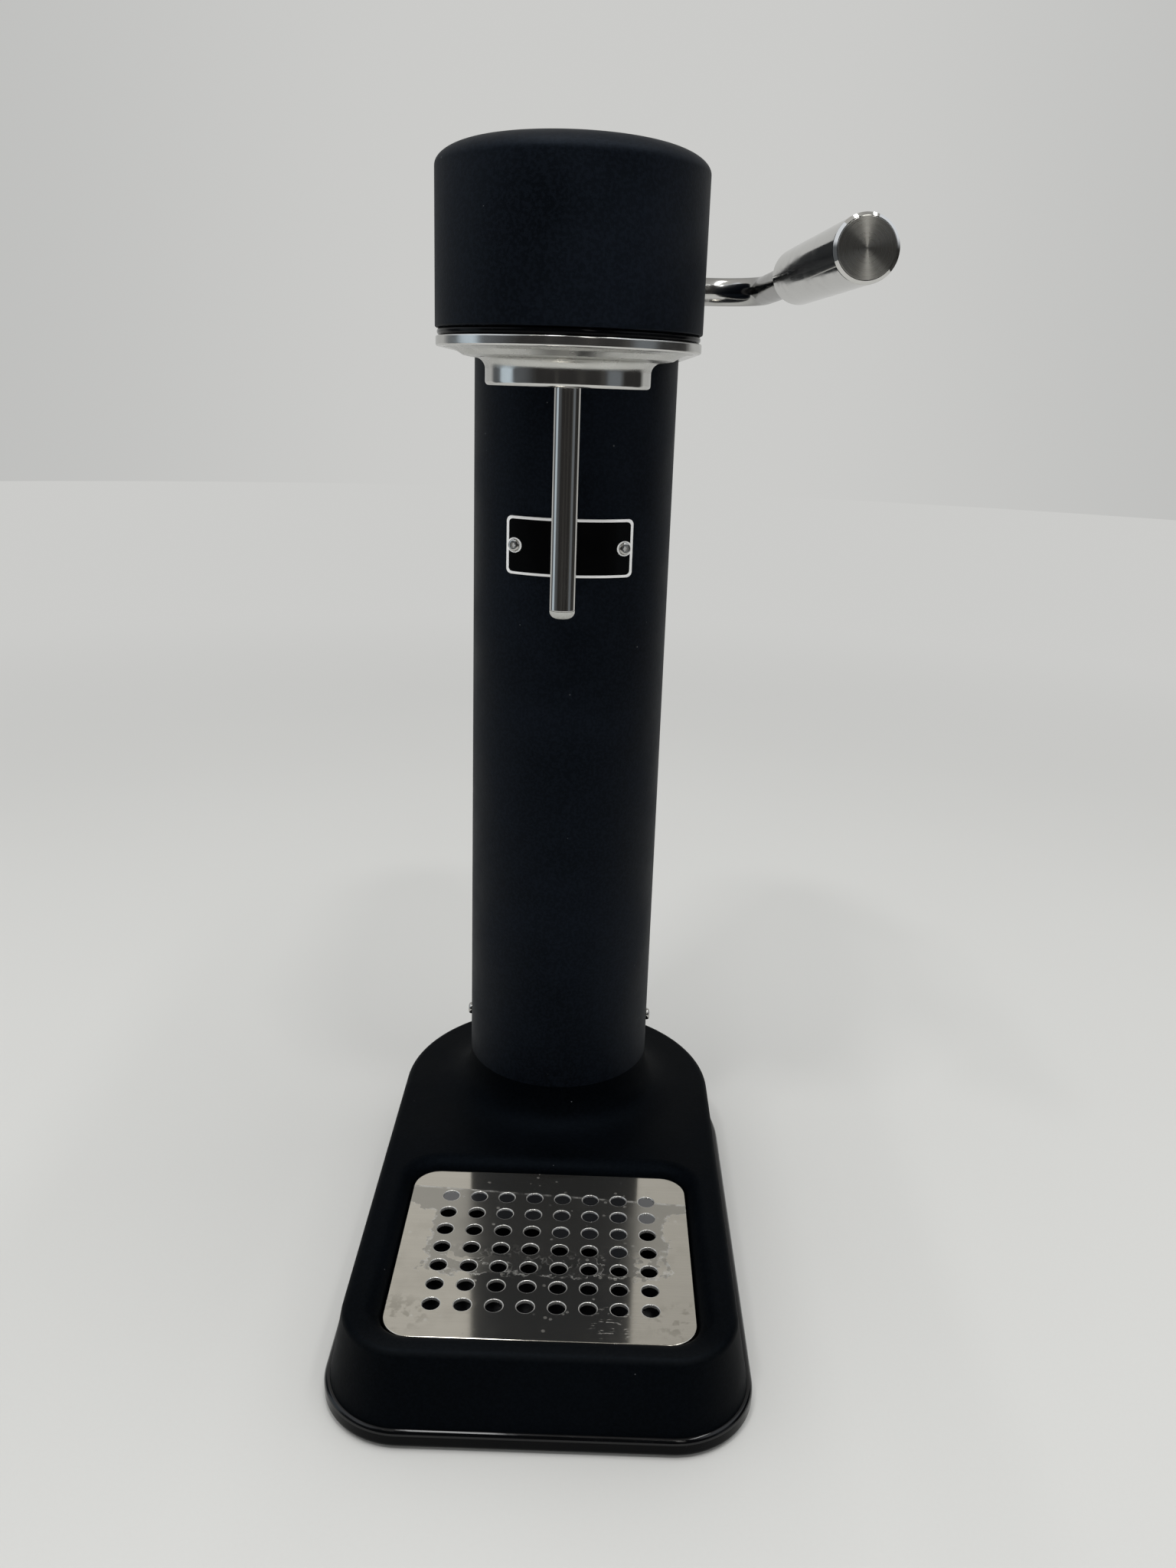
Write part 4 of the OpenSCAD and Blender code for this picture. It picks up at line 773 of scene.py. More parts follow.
def base_cover():
    shape = Shape()
    around_column = outline([(0, COLUMN_Y, 0, 0, 360)])
    outer = shape.sweep(cover_anchors, base_side(LEDGE, PLINTH_TOP, DECK_Z, EDGE_ROUND))
    lip = [(-grow, z) for grow, z in arc((LIP_ROUND, DECK_Z - LIP_ROUND), LIP_ROUND, 90, 180, 10)]
    lip = [(-LIP_ROUND - FLAT_EDGE, DECK_Z)] + lip + [(0, DECK_Z - POCKET_RIM)]
    pocket = shape.sweep(pocket_anchors, lip)
    sleeve = shape.sweep(around_column, [(-radius, z) for radius, z in soft_flare()])
    shape.fill(outer[-1], pocket[0], sleeve[0])
    under_z = DECK_Z - SHELL_WALL
    inside = base_side(LEDGE + SHELL_WALL, PLINTH_TOP, under_z, EDGE_ROUND - SHELL_WALL)
    inner = shape.sweep(cover_anchors, inside)
    rim = shape.sweep(pocket_anchors, [(-SHELL_WALL, under_z), (-SHELL_WALL, DECK_Z - POCKET_RIM)])
    hole = shape.ring(ring_at(around_column, -COLUMN_R - FLARE_STEP / 2, under_z))
    shape.fill(inner[-1], rim[0], hole)
    shape.skin(outer[0], inner[0])
    shape.skin(pocket[-1], rim[-1])
    shape.skin(sleeve[-1], hole)
    return shape.to_object("base_cover", [BASE_SHADED_POWDER])


settle(base_cover(), "stand", "powder_coat", "base_shell", "column_flare")

# %% [markdown]
# Under the deck hangs the pocket that the tray sits in, and under everything lies the gloss
# plinth. Its upper edge is a tight roll, which draws the thin bright line round the foot.

# %% Tray pocket and plinth
PLINTH_ROLL = 1.8
BAY_R = 33.0
POCKET_FLOOR_ROLL = 2.0


def tray_pocket():
    shape = Shape()
    top = DECK_Z - POCKET_RIM
    floor = PLINTH_TOP + SHELL_WALL
    inside = [(0, top)] + arc((POCKET_FLOOR_ROLL, floor + POCKET_FLOOR_ROLL), POCKET_FLOOR_ROLL, 180, 270, 5)
    inner = shape.sweep(pocket_anchors, inside, close_last=True)
    outside = [(-SHELL_WALL, top), (-SHELL_WALL, PLINTH_TOP)]
    outer = shape.sweep(pocket_anchors, outside, close_last=True)
    shape.skin(inner[0], outer[0])
    return shape.to_object("tray_pocket_shell", [BASE_SHADED_POWDER])


def plinth_band():
    shape = Shape()
    low, high = PLINTH_LOW.z, PLINTH_TOP
    lower = arc((PLINTH_ROLL, low + PLINTH_ROLL), PLINTH_ROLL, 270, 180, 6)
    upper = arc((PLINTH_ROLL, high - PLINTH_ROLL), PLINTH_ROLL, 180, 90, 6)
    flat = PLINTH_ROLL + FLAT_EDGE
    band = shape.sweep(base_anchors, [(flat, low)] + lower + upper + [(flat, high)])
    for face in shape.mesh.faces:
        face.material_index = int(face.calc_center_median().z > (high - PLINTH_ROLL) * MM)
    bay = outline([(0, COLUMN_Y, BAY_R, 0, 360)])
    wall = shape.skins([ring_at(bay, 0, low), ring_at(bay, 0, high)])
    shape.fill(band[0], wall[0])
    shape.fill(band[-1], wall[1])
    return shape.to_object("plinth_band", [GLOSS, GLOSS_EDGE])


settle(tray_pocket(), "stand", "powder_coat", "tray_pocket")
settle(plinth_band(), "stand", "gloss_black", "plinth")

# %% [markdown]
# The column is a plain coated tube. On so quiet a form only smooth curvature looks right, so it is
# turned in fine steps.

# %% Column
COLUMN_WALL = 1.2


def column_sleeve():
    shape = Shape()
    low, high = box_mm("column_tube")[0].z, HEAD_LOW.z
    inner = COLUMN_R - COLUMN_WALL
    wall = [(COLUMN_R, low), (COLUMN_R, high), (inner, high), (inner, low)]
    shape.turn((0, COLUMN_Y), wall, FINE_STEPS, closed=True)
    return shape.to_object("column_sleeve", [POWDER])


settle(column_sleeve(), "stand", "powder_coat", "column_tube")

# %% [markdown]
# The head's cover is a deep-drawn cap over the whole reach of the machine, with a generous roll at
# the top and a small one at its lower edge. The hole for the lever is drilled in its right side.

# %% Head cover
HEAD_ARCS = [(0, COLUMN_Y, 0, 0, 180), (0, NOZZLE_Y, 0, 180, 360)]
HEAD_ROLL = 17.0
HEAD_ROLL_H = 7.0
HEAD_WALL = 1.5
HEAD_FOOT_ROLL = 0.5
GROMMET_HOLE = 7.45
DRILL_FROM, DRILL_TO = 30, 60

head_anchors = outline(HEAD_ARCS, 2)


def along_head(shape, profile, close_first=False, close_last=False):
    return shape.sweep(head_anchors, [(-radius, z) for radius, z in profile], close_first, close_last)


def on_shaft(piece):
    """Lays a piece that was turned about Z along the lever's shaft."""
    place = Matrix.Translation(Vector((0, COLUMN_Y, SHAFT_Z)) * MM)
    piece.matrix_world = place @ Matrix.Rotation(radians(90), 4, "Y")
    return piece


def head_cover():
    shape = Shape()
    low, top = HEAD_LOW.z, HEAD_HIGH.z
    centre = (HEAD_R - HEAD_ROLL, top - HEAD_ROLL_H)
    foot = arc((HEAD_R - HEAD_FOOT_ROLL, low + HEAD_FOOT_ROLL), HEAD_FOOT_ROLL, -90, 0, 4)
    roll = arc(centre, HEAD_ROLL, 0, 90, 20, HEAD_ROLL_H / HEAD_ROLL)
    outer = along_head(shape, foot + roll + [(centre[0] - FLAT_EDGE, top)], close_last=True)
    inner_r = HEAD_R - HEAD_WALL
    inner_h = HEAD_ROLL_H - HEAD_WALL
    inner_roll = arc(centre, HEAD_ROLL - HEAD_WALL, 0, 90, 8, inner_h / (HEAD_ROLL - HEAD_WALL))
    inner = along_head(shape, [(inner_r, low)] + inner_roll, close_last=True)
    shape.skin(outer[0], inner[0])
    cover = shape.to_object("head_cover", [POWDER])
    hole = disc(GROMMET_HOLE, DRILL_FROM, DRILL_TO)
    return cut_away(cover, on_shaft(drill((0, 0), hole, SMALL_STEPS, POWDER)))


settle(head_cover(), "stand", "powder_coat", "head_shell")

# %% [markdown]
# Below the cap come a gloss black gasket, then the polished collar plate. The gasket shows as a
# thin dark line that bulges a little, so its outer edge is a half circle.

# %% Gasket
RIM_PROUD = 0.3
RIM_R = COLLAR_HIGH.x + RIM_PROUD
RIM_TOP = COLLAR_HIGH.z
RIM_W = 2.0
HOLE_GAP = 0.3
GASKET_IN = 0.4


def head_gasket():
    shape = Shape()
    z0, z1 = RIM_TOP, HEAD_LOW.z
    half = (z1 - z0) / 2
    bulge = arc((RIM_R - GASKET_IN - half, z0 + half), half, -90, 90, 10)
    outer = along_head(shape, bulge)
    inner_arcs = [(0, COLUMN_Y, COLUMN_R + HOLE_GAP, 0, 180), (0, NOZZLE_Y, RIM_R - RIM_W, 180, 360)]
    inner_anchors = outline(inner_arcs, 2)
    inner = shape.skins([ring_at(inner_anchors, 0, z1), ring_at(inner_anchors, 0, z0)])
    shape.skin(outer[-1], inner[0])
    shape.skin(inner[1], outer[0])
    return shape.to_object("gasket_line", [GLOSS])


settle(head_gasket(), "stand", "gloss_black", "head_gasket")

# %% [markdown]
# The collar plate is one pressing: an upright rim round the head, a shallow dish in front, and the
# collar that the bottle goes up into. Here it is two shells that meet under the dish's edge. The
# first is the rim, swept round the head, with the holes for the column and the dish cut out.

# %% Rim
RIM_H = 3.1
RIM_Z = RIM_TOP - RIM_H
RIM_ROLL = 0.7
RIM_EDGE = 0.45
PLATE_T = 1.5
DISH_R = 38.9
DISH_LAP = 1
DRILL_OVER = 5


def rim_plate():
    shape = Shape()
    lower = arc((RIM_R - RIM_ROLL, RIM_Z + RIM_ROLL), RIM_ROLL, -90, 0, 6)
    upper = arc((RIM_R - RIM_EDGE, RIM_TOP - RIM_EDGE), RIM_EDGE, 0, 90, 4)
    outer = along_head(shape, [(DISH_R - DISH_LAP, RIM_Z)] + lower + upper, close_first=True)
    inner = along_head(shape, [(RIM_R - RIM_W, RIM_TOP), (RIM_R - RIM_W, RIM_Z + PLATE_T)], close_last=True)
    shape.skin(outer[-1], inner[0])
    plate = shape.to_object("rim_plate", [RIM_STEEL])
    for y, radius in ((COLUMN_Y, COLUMN_R + HOLE_GAP), (NOZZLE_Y, DISH_R)):
        hole = disc(radius, RIM_Z - DRILL_OVER, RIM_TOP + DRILL_OVER)
        plate = cut_away(plate, drill((0, y), hole, FINE_STEPS, RIM_STEEL))
    soften(plate.data)
    return plate


settle(rim_plate(), "stand", "polished_steel", "bottle_collar")

# %% [markdown]
# The second shell is turned: the dish falls in an easy curve from the rim, then a fillet leads down
# into the collar, whose lower edge is a full bead.

# %% Collar dish
DISH_DROP = 2.8
DISH_BEND = ((1.2, 0.12), (3.5, 0.75))
FOOT_BEND = ((3.5, 0.55), (1.2, 0.1))
SEAM_LAP = 0.02
COLLAR_R = 26.0
COLLAR_WALL = 2.5
COLLAR_FILLET = 3.4


def collar_dish():
    shape = Shape()
    bead = COLLAR_WALL / 2
    dish_z = RIM_Z - DISH_DROP
    foot = COLLAR_R + COLLAR_FILLET
    bore = COLLAR_R - COLLAR_WALL
    slope = [(DISH_R - SEAM_LAP, RIM_Z + SEAM_LAP)]
    slope += [(DISH_R - run, RIM_Z - fall) for run, fall in DISH_BEND]
    slope += [(foot + run, dish_z + rise) for run, rise in FOOT_BEND]
    fillet = arc((foot, dish_z - COLLAR_FILLET), COLLAR_FILLET, 90, 180, 9)
    lip = arc((COLLAR_R - bead, COLLAR_LOW.z + bead), bead, 0, -180, 12)
    back = [(bore, dish_z + PLATE_T), (foot, dish_z + PLATE_T), (DISH_R - SEAM_LAP, RIM_Z + PLATE_T)]
    shape.turn((0, NOZZLE_Y), slope + fillet + lip + back, FINE_STEPS, closed=True)
    return shape.to_object("collar_dish", [COLLAR_STEEL])


settle(collar_dish(), "stand", "polished_steel")

# %% [markdown]
# The nozzle is a straight steel tube with a rounded tip of pale plastic, and a fine jet at its end.
# Both are round about one axis, so each is a turned profile. A hair's breadth is left between them,
# which reads as the seam of two materials.

# %% Nozzle
TUBE_EDGE, TUBE_WALL = 0.3, 1.2
TIP_H, TIP_ROUND, TIP_GAP = 2.7, 2.3, 0.06
SPIGOT_IN, SPIGOT_L = 1.25, 5
JET_R, JET_LEAD = 0.6, 0.3
JET_DEPTH, JET_EDGE = 0.4, 0.05


def nozzle_tube():
    shape = Shape()
    low, high = box_mm("nozzle_tube")
    foot = arc((NOZZLE_R - TUBE_EDGE, low.z + TUBE_EDGE), TUBE_EDGE, -90, 0, 4)
    bore = NOZZLE_R - TUBE_WALL
    profile = foot + [(NOZZLE_R, high.z), (bore, high.z), (bore, low.z)]
    shape.turn((0, NOZZLE_Y), profile, SMALL_STEPS, closed=True)
    return shape.to_object("nozzle_pipe", [NOZZLE_STEEL])


def nozzle_tip():
    shape = Shape()
    low = box_mm("nozzle_tip")[0].z
    high = low + TIP_H
    dome = arc((NOZZLE_R - TIP_ROUND, low + TIP_ROUND), TIP_ROUND, -90, 0, 10)
    spigot = NOZZLE_R - SPIGOT_IN
    profile = [(JET_R, low + JET_DEPTH), (JET_R + JET_LEAD, low + JET_EDGE)] + dome
    profile += [(NOZZLE_R, high - TIP_GAP), (spigot, high - TIP_GAP)]
    profile += [(spigot, high + SPIGOT_L), (JET_R, high + SPIGOT_L)]
    shape.turn((0, NOZZLE_Y), profile, SMALL_STEPS, closed=True)
    return shape.to_object("nozzle_end", [TIP])


settle(nozzle_tube(), "stand", "polished_steel", "nozzle_tube")
settle(nozzle_tip(), "stand", "tip_plastic", "nozzle_tip")

# %% [markdown]
# The lever is a round rod that leaves the head on the right, bends forward through a quarter turn
# and ends in a heavy turned grip. The rod is a circle carried along its centre line: the shaft, the
# bend, then a straight end that the grip sits on.

# %% Lever rod
ARM_REACH = 69.5
ARM_BEND = 20.0
BEND_STEPS, ROD_SIDES = 24, 48
SPLAY = 3.0
GRIP_START = 76.6
GRIP_BORE_L = 32.0
BORE_END_GAP = 1

arm_turn = 90 - SPLAY
arm_tangent = ARM_BEND * sin(radians(arm_turn) / 2) / cos(radians(arm_turn) / 2)
arm_way = Vector((sin(radians(SPLAY)), -cos(radians(SPLAY)), 0))
crossing = Vector((ARM_REACH, COLUMN_Y, SHAFT_Z))


def lever_arm():
    bend_x = ARM_REACH - arm_tangent
    path = [(Vector((x, COLUMN_Y, SHAFT_Z)), Vector((1, 0, 0))) for x in (ROD_LOW.x, bend_x - HOLD, bend_x)]
    centre = Vector((bend_x, COLUMN_Y - ARM_BEND, SHAFT_Z))
    for i in range(1, BEND_STEPS + 1):
        turn = radians(90 - arm_turn * i / BEND_STEPS)
        out = Vector((cos(turn), sin(turn), 0))
        path.append((centre + ARM_BEND * out, Vector((sin(turn), -cos(turn), 0))))
    end = crossing + (GRIP_START + GRIP_BORE_L - BORE_END_GAP) * arm_way
    path += [(path[-1][0] + HOLD * arm_way, arm_way), (end, arm_way)]
    shape = Shape()
    shape.tube([(point, Vector((-way.y, way.x, 0))) for point, way in path], ROD_R, ROD_SIDES)
    return shape.to_object("lever_arm", [ARM_STEEL])


settle(lever_arm(), "lever", "polished_steel", "lever_rod")

# %% [markdown]
# The grip is turned on its own axis and then laid in place, so that its polishing lines run round
# it. Its front edge is a small chamfer with both corners eased. The faced end is a disc of its own,
# let into the grip, because its grain has to run round its own Z axis.

# %% Lever grip
GRIP_L = 92.0
GRIP_ROUND = 5.0
GRIP_PLAY, BORE_LEAD = 0.05, 0.4
EDGE_BEND = ((0, 1.15), (0.06, 0.95), (0.9, 0.12), (1.05, 0.08))
SEAT_IN, SEAT_DEPTH = 1.1, 0.5
FACE_IN, FACE_T, FACE_EASE = 1.12, 0.4, 0.06
FACE_RINGS, FACE_STEPS = (0.8, 0.6, 0.4, 0.2, 0.06), 128


def along_grip(piece, start):
    """Stands a piece that was turned about Z on the grip's axis, a distance along the arm."""
    side = Vector((0, 0, 1)).cross(arm_way)
    turned = Matrix((side, arm_way.cross(side), arm_way)).transposed().to_4x4()
    piece.matrix_world = Matrix.Translation((crossing + start * arm_way) * MM) @ turned
    return piece


def lever_grip():
    shape = Shape()
    bore = ROD_R + GRIP_PLAY
    hole = [(0, GRIP_BORE_L), (bore, GRIP_BORE_L), (bore, BORE_LEAD), (bore + BORE_LEAD, 0)]
    rear = arc((GRIP_R - GRIP_ROUND, GRIP_ROUND), GRIP_ROUND, -90, 0, 12)
    front = [(GRIP_R - inward, GRIP_L - back) for inward, back in EDGE_BEND]
    seat = [(GRIP_R - SEAT_IN, GRIP_L - SEAT_DEPTH), (0, GRIP_L - SEAT_DEPTH)]
    shape.turn((0, 0), hole + rear + front + seat)
    return along_grip(shape.to_object("lever_handle", [GRIP_STEEL], sharp=24), GRIP_START)


def grip_end():
    shape = Shape()
    edge = GRIP_R - FACE_IN
    profile = [(0, -FACE_T), (edge, -FACE_T), (edge, -FACE_EASE), (edge - FACE_EASE, 0)]
    profile += [(edge * share, 0) for share in FACE_RINGS] + [(0, 0)]
    shape.turn((0, 0), profile, FACE_STEPS)
    return along_grip(shape.to_object("grip_end_face", [TURNED]), GRIP_START + GRIP_L)


settle(lever_grip(), "lever", "polished_steel", "lever_grip")
settle(grip_end(), "lever", "polished_steel")

# %% [markdown]
# Where the rod leaves the head, a black ring lines the hole. It is soft at the edge and stands
# just proud of the cap. One turned profile makes its barrel and its flange a single piece of rubber.

# %% Lever grommet
ROD_PLAY, HOLE_PLAY = 0.3, 0.05
FLANGE_T, FLANGE_ROLL = 0.8, 0.35
LEAD_ROLL = 0.3


def lever_grommet():
    shape = Shape()
    low, high = box_mm("lever_grommet")
    bore = ROD_R + ROD_PLAY
    flange = (high.z - low.z) / 2
    inner, outer = low.x, high.x
    barrel = GROMMET_HOLE - HOLE_PLAY
    seat = outer - FLANGE_T
    roll = arc((flange - FLANGE_ROLL, outer - FLANGE_ROLL), FLANGE_ROLL, 0, 90, 5)
    lead = arc((bore + LEAD_ROLL, outer - LEAD_ROLL), LEAD_ROLL, 90, 180, 4)
    profile = [(bore, inner), (barrel, inner), (barrel, seat), (flange, seat)] + roll + lead
    shape.turn((0, 0), profile, SMALL_STEPS, closed=True)
    return on_shaft(shape.to_object("lever_ring", [RUBBER]))


settle(lever_grommet(), "stand", "rubber", "lever_grommet")

# %% [markdown]
# Inside the head a return spring lifts the plunger. The CAD's spring is one stiff solid, but the
# real one shortens when the lever is pulled. So it is drawn again as a round wire along a helix,
# and the share of its height that it keeps at the plunger's full travel is worked out.

# %% Return spring
SPRING_TURNS, TURN_STEPS = 4, 24
SPRING_WIRE_R, WIRE_SIDES = 0.6, 12
spring_low, spring_high = box_mm("plunger_spring")


def return_spring():
    coil_r = (spring_high.x - spring_low.x) / 2 - SPRING_WIRE_R
    first, last = spring_low.z + SPRING_WIRE_R, spring_high.z - SPRING_WIRE_R
    steps = SPRING_TURNS * TURN_STEPS
    path = []
    for i in range(steps + 1):
        turn = 2 * pi * SPRING_TURNS * i / steps
        out = Vector((cos(turn), sin(turn), 0))
        path.append((Vector((0, COLUMN_Y, first + (last - first) * i / steps)) + coil_r * out, out))
    shape = Shape()
    shape.tube(path, SPRING_WIRE_R, WIRE_SIDES)
    return shape.to_object("return_spring", [PLAIN])


spring = settle(return_spring(), "stand", "plain_steel", "plunger_spring")
press = next(joint for joint in frame["joints"] if joint["name"] == "plunger_press")
travel = press["range_m"][1] / (spring_high.z - spring_low.z) / MM
1 - travel
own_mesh(spring)
print("the spring keeps", round(1 - travel, 3), "of its height")

# %% [markdown]
# The perforated plate is cut from sheet: straight edges with the burr taken off, and punched
# holes whose rolled upper edge catches the light as a thin bright ring. The rings are modelled,
# one round each hole, because no bump map would catch the light from every side.

# %% Perforated plate
HOLE_R, HOLE_STEPS = 3.15, 40
HOLE_COLUMNS, HOLE_ROWS = 8, 7
HOLE_PITCH_X, HOLE_PITCH_Y = 11.2, 10.3
HOLE_CHAMFER, HOLE_LAND = 0.3, 0.08
SHEET_ROLL = 0.4
HOLE_EDGE = grained("hole_edge", ((0.62, 0.61, 0.58), (0.74, 0.73, 0.7)), 0.4, 0.002, (0.2, 0.32), 0.85)


def hole_place(column, row):
    x = (column - (HOLE_COLUMNS - 1) / 2) * HOLE_PITCH_X
    return x, GRATE_Y + (row - (HOLE_ROWS - 1) / 2) * HOLE_PITCH_Y


def drip_grate():
    shape = Shape()
    low, high = GRATE_LOW.z, GRATE_HIGH.z
    edge = rounded_box(grate_half_w, grate_half_d, GRATE_CORNER, GRATE_Y)
    side = arc((SHEET_ROLL, low + SHEET_ROLL), SHEET_ROLL, 270, 180, 4)
    side += arc((SHEET_ROLL, high - SHEET_ROLL), SHEET_ROLL, 180, 90, 4)
    flat = SHEET_ROLL + FLAT_EDGE
    rim = shape.sweep(edge, [(flat, low)] + side + [(flat, high)])
    tops, bottoms = [rim[-1]], [rim[0]]
    shape.finish = 1
    for column in range(HOLE_COLUMNS):
        for row in range(HOLE_ROWS):
            around = outline([(*hole_place(column, row), HOLE_R, 0, 360)], 360 / HOLE_STEPS)
            roll = arc((-HOLE_CHAMFER, high - HOLE_CHAMFER), HOLE_CHAMFER, 90, 0, 4)
            hole = shape.sweep(around, [(-HOLE_CHAMFER - HOLE_LAND, high)] + roll + [(0, low)])
            tops.append(hole[0])
            bottoms.append(hole[-1])
    shape.finish = 0
    shape.fill(*tops)
    shape.fill(*bottoms)
    return shape.to_object("perforated_plate", [PLATE_STEEL, HOLE_EDGE], sharp=50)


settle(drip_grate(), "grate", "brushed_plate", "drip_grate")

# %% [markdown]
# Towards the back some holes still hold a skin of water. Each skin is a thin disc, finished as a
# dark mirror that shows the sky or the column, so these holes look grey instead of black.

# %% Water in the holes
WET_HOLES = {6: range(0, 8), 5: range(2, 8), 4: range(4, 7), 3: range(6, 7)}
WATER_TOP, WATER_T = 0.45, 0.2
WATER = grained("water_film", ((0.16, 0.162, 0.17), (0.21, 0.212, 0.22)), 1.5, 0.01, (0.05, 0.1), 0.95)


def water_skins():
    shape = Shape()
    top = GRATE_HIGH.z - WATER_TOP
    for row, columns in WET_HOLES.items():
        for column in columns:
            shape.turn(hole_place(column, row), disc(HOLE_R, top, top - WATER_T), HOLE_STEPS)
    return shape.to_object("water_skins", [WATER])


settle(water_skins(), "grate", "brushed_plate")

# %% [markdown]
# Under the plate the tray is a moulded bucket with rounded edges, still wet, so it is the glossiest
# of the black plastics. One sweep round a rounded box makes its outside, its rim and its inside.

# %% Drip tray
TRAY_WALL = 1.6
TRAY_ROLL = 2.4
TRAY_TIGHTER = 0.6


def drip_tray():
    shape = Shape()
    low, high = box_mm("drip_tray")
    anchors = rounded_box(*half_sizes(low, high), GRATE_CORNER - TRAY_TIGHTER, GRATE_Y)
    inner_roll = TRAY_ROLL - TRAY_TIGHTER
    outer = [(TRAY_ROLL + FLAT_EDGE, low.z)] + arc((TRAY_ROLL, low.z + TRAY_ROLL), TRAY_ROLL, 270, 180, 6)
    top = arc((TRAY_WALL / 2, high.z - TRAY_WALL / 2), TRAY_WALL / 2, 180, 0, 8)
    floor = arc((TRAY_WALL + inner_roll, low.z + TRAY_WALL + inner_roll), inner_roll, 180, 270, 6)
    floor.append((TRAY_WALL + inner_roll + FLAT_EDGE, low.z + TRAY_WALL))
    shape.sweep(anchors, outer + top + floor, close_first=True, close_last=True)
    return shape.to_object("drip_bucket", [TRAY])


settle(drip_tray(), "tray", "inner_plastic", "drip_tray")

# %% [markdown]
# The badge is a small curved plate held by two screws: a raised bare edge, bare pads round the
# screws, and a sunk field of plain black enamel. The edge and the pads are painted near white, a
# painted reflection of bright light on their polished metal. The field's edge is a rounded box
# with a bite out of each side, so it is drawn point by point, as half of it and the same half
# turned round.

# %% Badge field
BADGE_EDGE_W = 0.95
BADGE_CORNER = 2.0
BADGE_PAD_R = 2.85
BADGE_SINK = 0.35
BADGE_T, BADGE_GAP = 1.5, 0.05
BADGE_SCREW_X = 20.3
BITE_STEPS = 24
badge_low, badge_high = box_mm("badge_plate")
BADGE_W = badge_high.x - badge_low.x
BADGE_H = badge_high.z - badge_low.z
BADGE_Z = (badge_low.z + badge_high.z) / 2
badge_seat_r = COLUMN_R + BADGE_GAP + BADGE_T
badge_turn = asin(BADGE_SCREW_X / COLUMN_R)
pad_x = badge_seat_r * sin(badge_turn)


def field_outline():
    half_w, half_h = BADGE_W / 2 - BADGE_EDGE_W, BADGE_H / 2 - BADGE_EDGE_W
    corner = BADGE_CORNER - BADGE_EDGE_W / 2
    reach = half_w - pad_x
    bite = acos(reach / BADGE_PAD_R)
    points = []
    for side in (1, -1):
        turns = [bite + (2 * pi - 2 * bite) * i / BITE_STEPS for i in range(BITE_STEPS + 1)]
        half = [(pad_x + BADGE_PAD_R * cos(t), -BADGE_PAD_R * sin(t)) for t in turns]
        rise = arc((half_w - corner, half_h - corner), corner, 0, 90, 6)
        fall = arc((half_w - corner, corner - half_h), corner, -90, 0, 6)
        points += [(side * x, side * z) for x, z in fall + half + rise]
    return points


field = field_outline()
print("badge", round(BADGE_W, 1), "by", round(BADGE_H, 1), "mm,", len(field), "points round its field")

# %% [markdown]
# The plate is drawn flat, sliced into narrow strips and then bent round the column. Without the
# strips its large flat faces would stay flat and cut through the column.

# %% Badge
BADGE_EASE = 0.2
BADGE_STRIPS = 48


def badge_plate():
    shape = Shape()

    def flat(points, depth):
        return [Vector((x, -depth, z)) * MM for x, z in points]

    corners = rounded_box(BADGE_W / 2, BADGE_H / 2, BADGE_CORNER, 0, 10)
    edge = [(x / MM, y / MM) for x, y, z in ring_at(corners, 0, 0)]
    eased = [(x / MM, y / MM) for x, y, z in ring_at(corners, BADGE_EASE, 0)]
    rings = shape.skins([flat(edge, 0), flat(edge, BADGE_T - BADGE_EASE), flat(eased, BADGE_T)])
    bite = shape.skins([flat(field, BADGE_T), flat(field, BADGE_T - BADGE_SINK)])
    shape.fill(rings[0])
    shape.fill(rings[-1], bite[0])
    shape.finish = 1
    shape.fill(bite[1])
    for i in range(1, BADGE_STRIPS):
        x = BADGE_W * (i / BADGE_STRIPS - 0.5) * MM
        geometry = shape.mesh.verts[:] + shape.mesh.edges[:] + shape.mesh.faces[:]
        bmesh.ops.bisect_plane(shape.mesh, geom=geometry, plane_co=(x, 0, 0), plane_no=(1, 0, 0), dist=1e-7)
    for vert in shape.mesh.verts:
        radius = (COLUMN_R + BADGE_GAP) * MM - vert.co.y
        x = vert.co.x
        vert.co = Vector((x, COLUMN_Y * MM - sqrt(radius * radius - x * x), BADGE_Z * MM + vert.co.z))
    return shape.to_object("badge", [BADGE_EDGE, ENAMEL], sharp=28)


settle(badge_plate(), "stand", "badge_black", "badge_plate")

# %% [markdown]
# The two badge screws and the two screws in the column's sides are button heads with a six-lobed
# socket. One function makes them of rings: the shank, the brim, the dome, a lobed ring at the
# socket's mouth and one at its floor. Dome and socket are shares of the head's radius and height.

# %% Button screws
SCREW_STEPS = 72
SOCKET, SOCKET_FLOOR, SOCKET_DEPTH = 0.42, 0.96, 0.8
LOBES, LOBE_DEPTH = 6, 0.16
BRIM, MOUTH, MOUTH_DROP = 0.3, 1.3, 0.99
DOME = (0.2, 0.4, 0.6, 0.8, 1.0)
screw_turns = [2 * pi * i / SCREW_STEPS for i in range(SCREW_STEPS)]


def screw_ring(radius, z, lobe=0.0):
    radii = [radius * (1 + lobe * cos(LOBES * t)) for t in screw_turns]
    return [Vector((r * cos(t), r * sin(t), z)) * MM for r, t in zip(radii, screw_turns)]


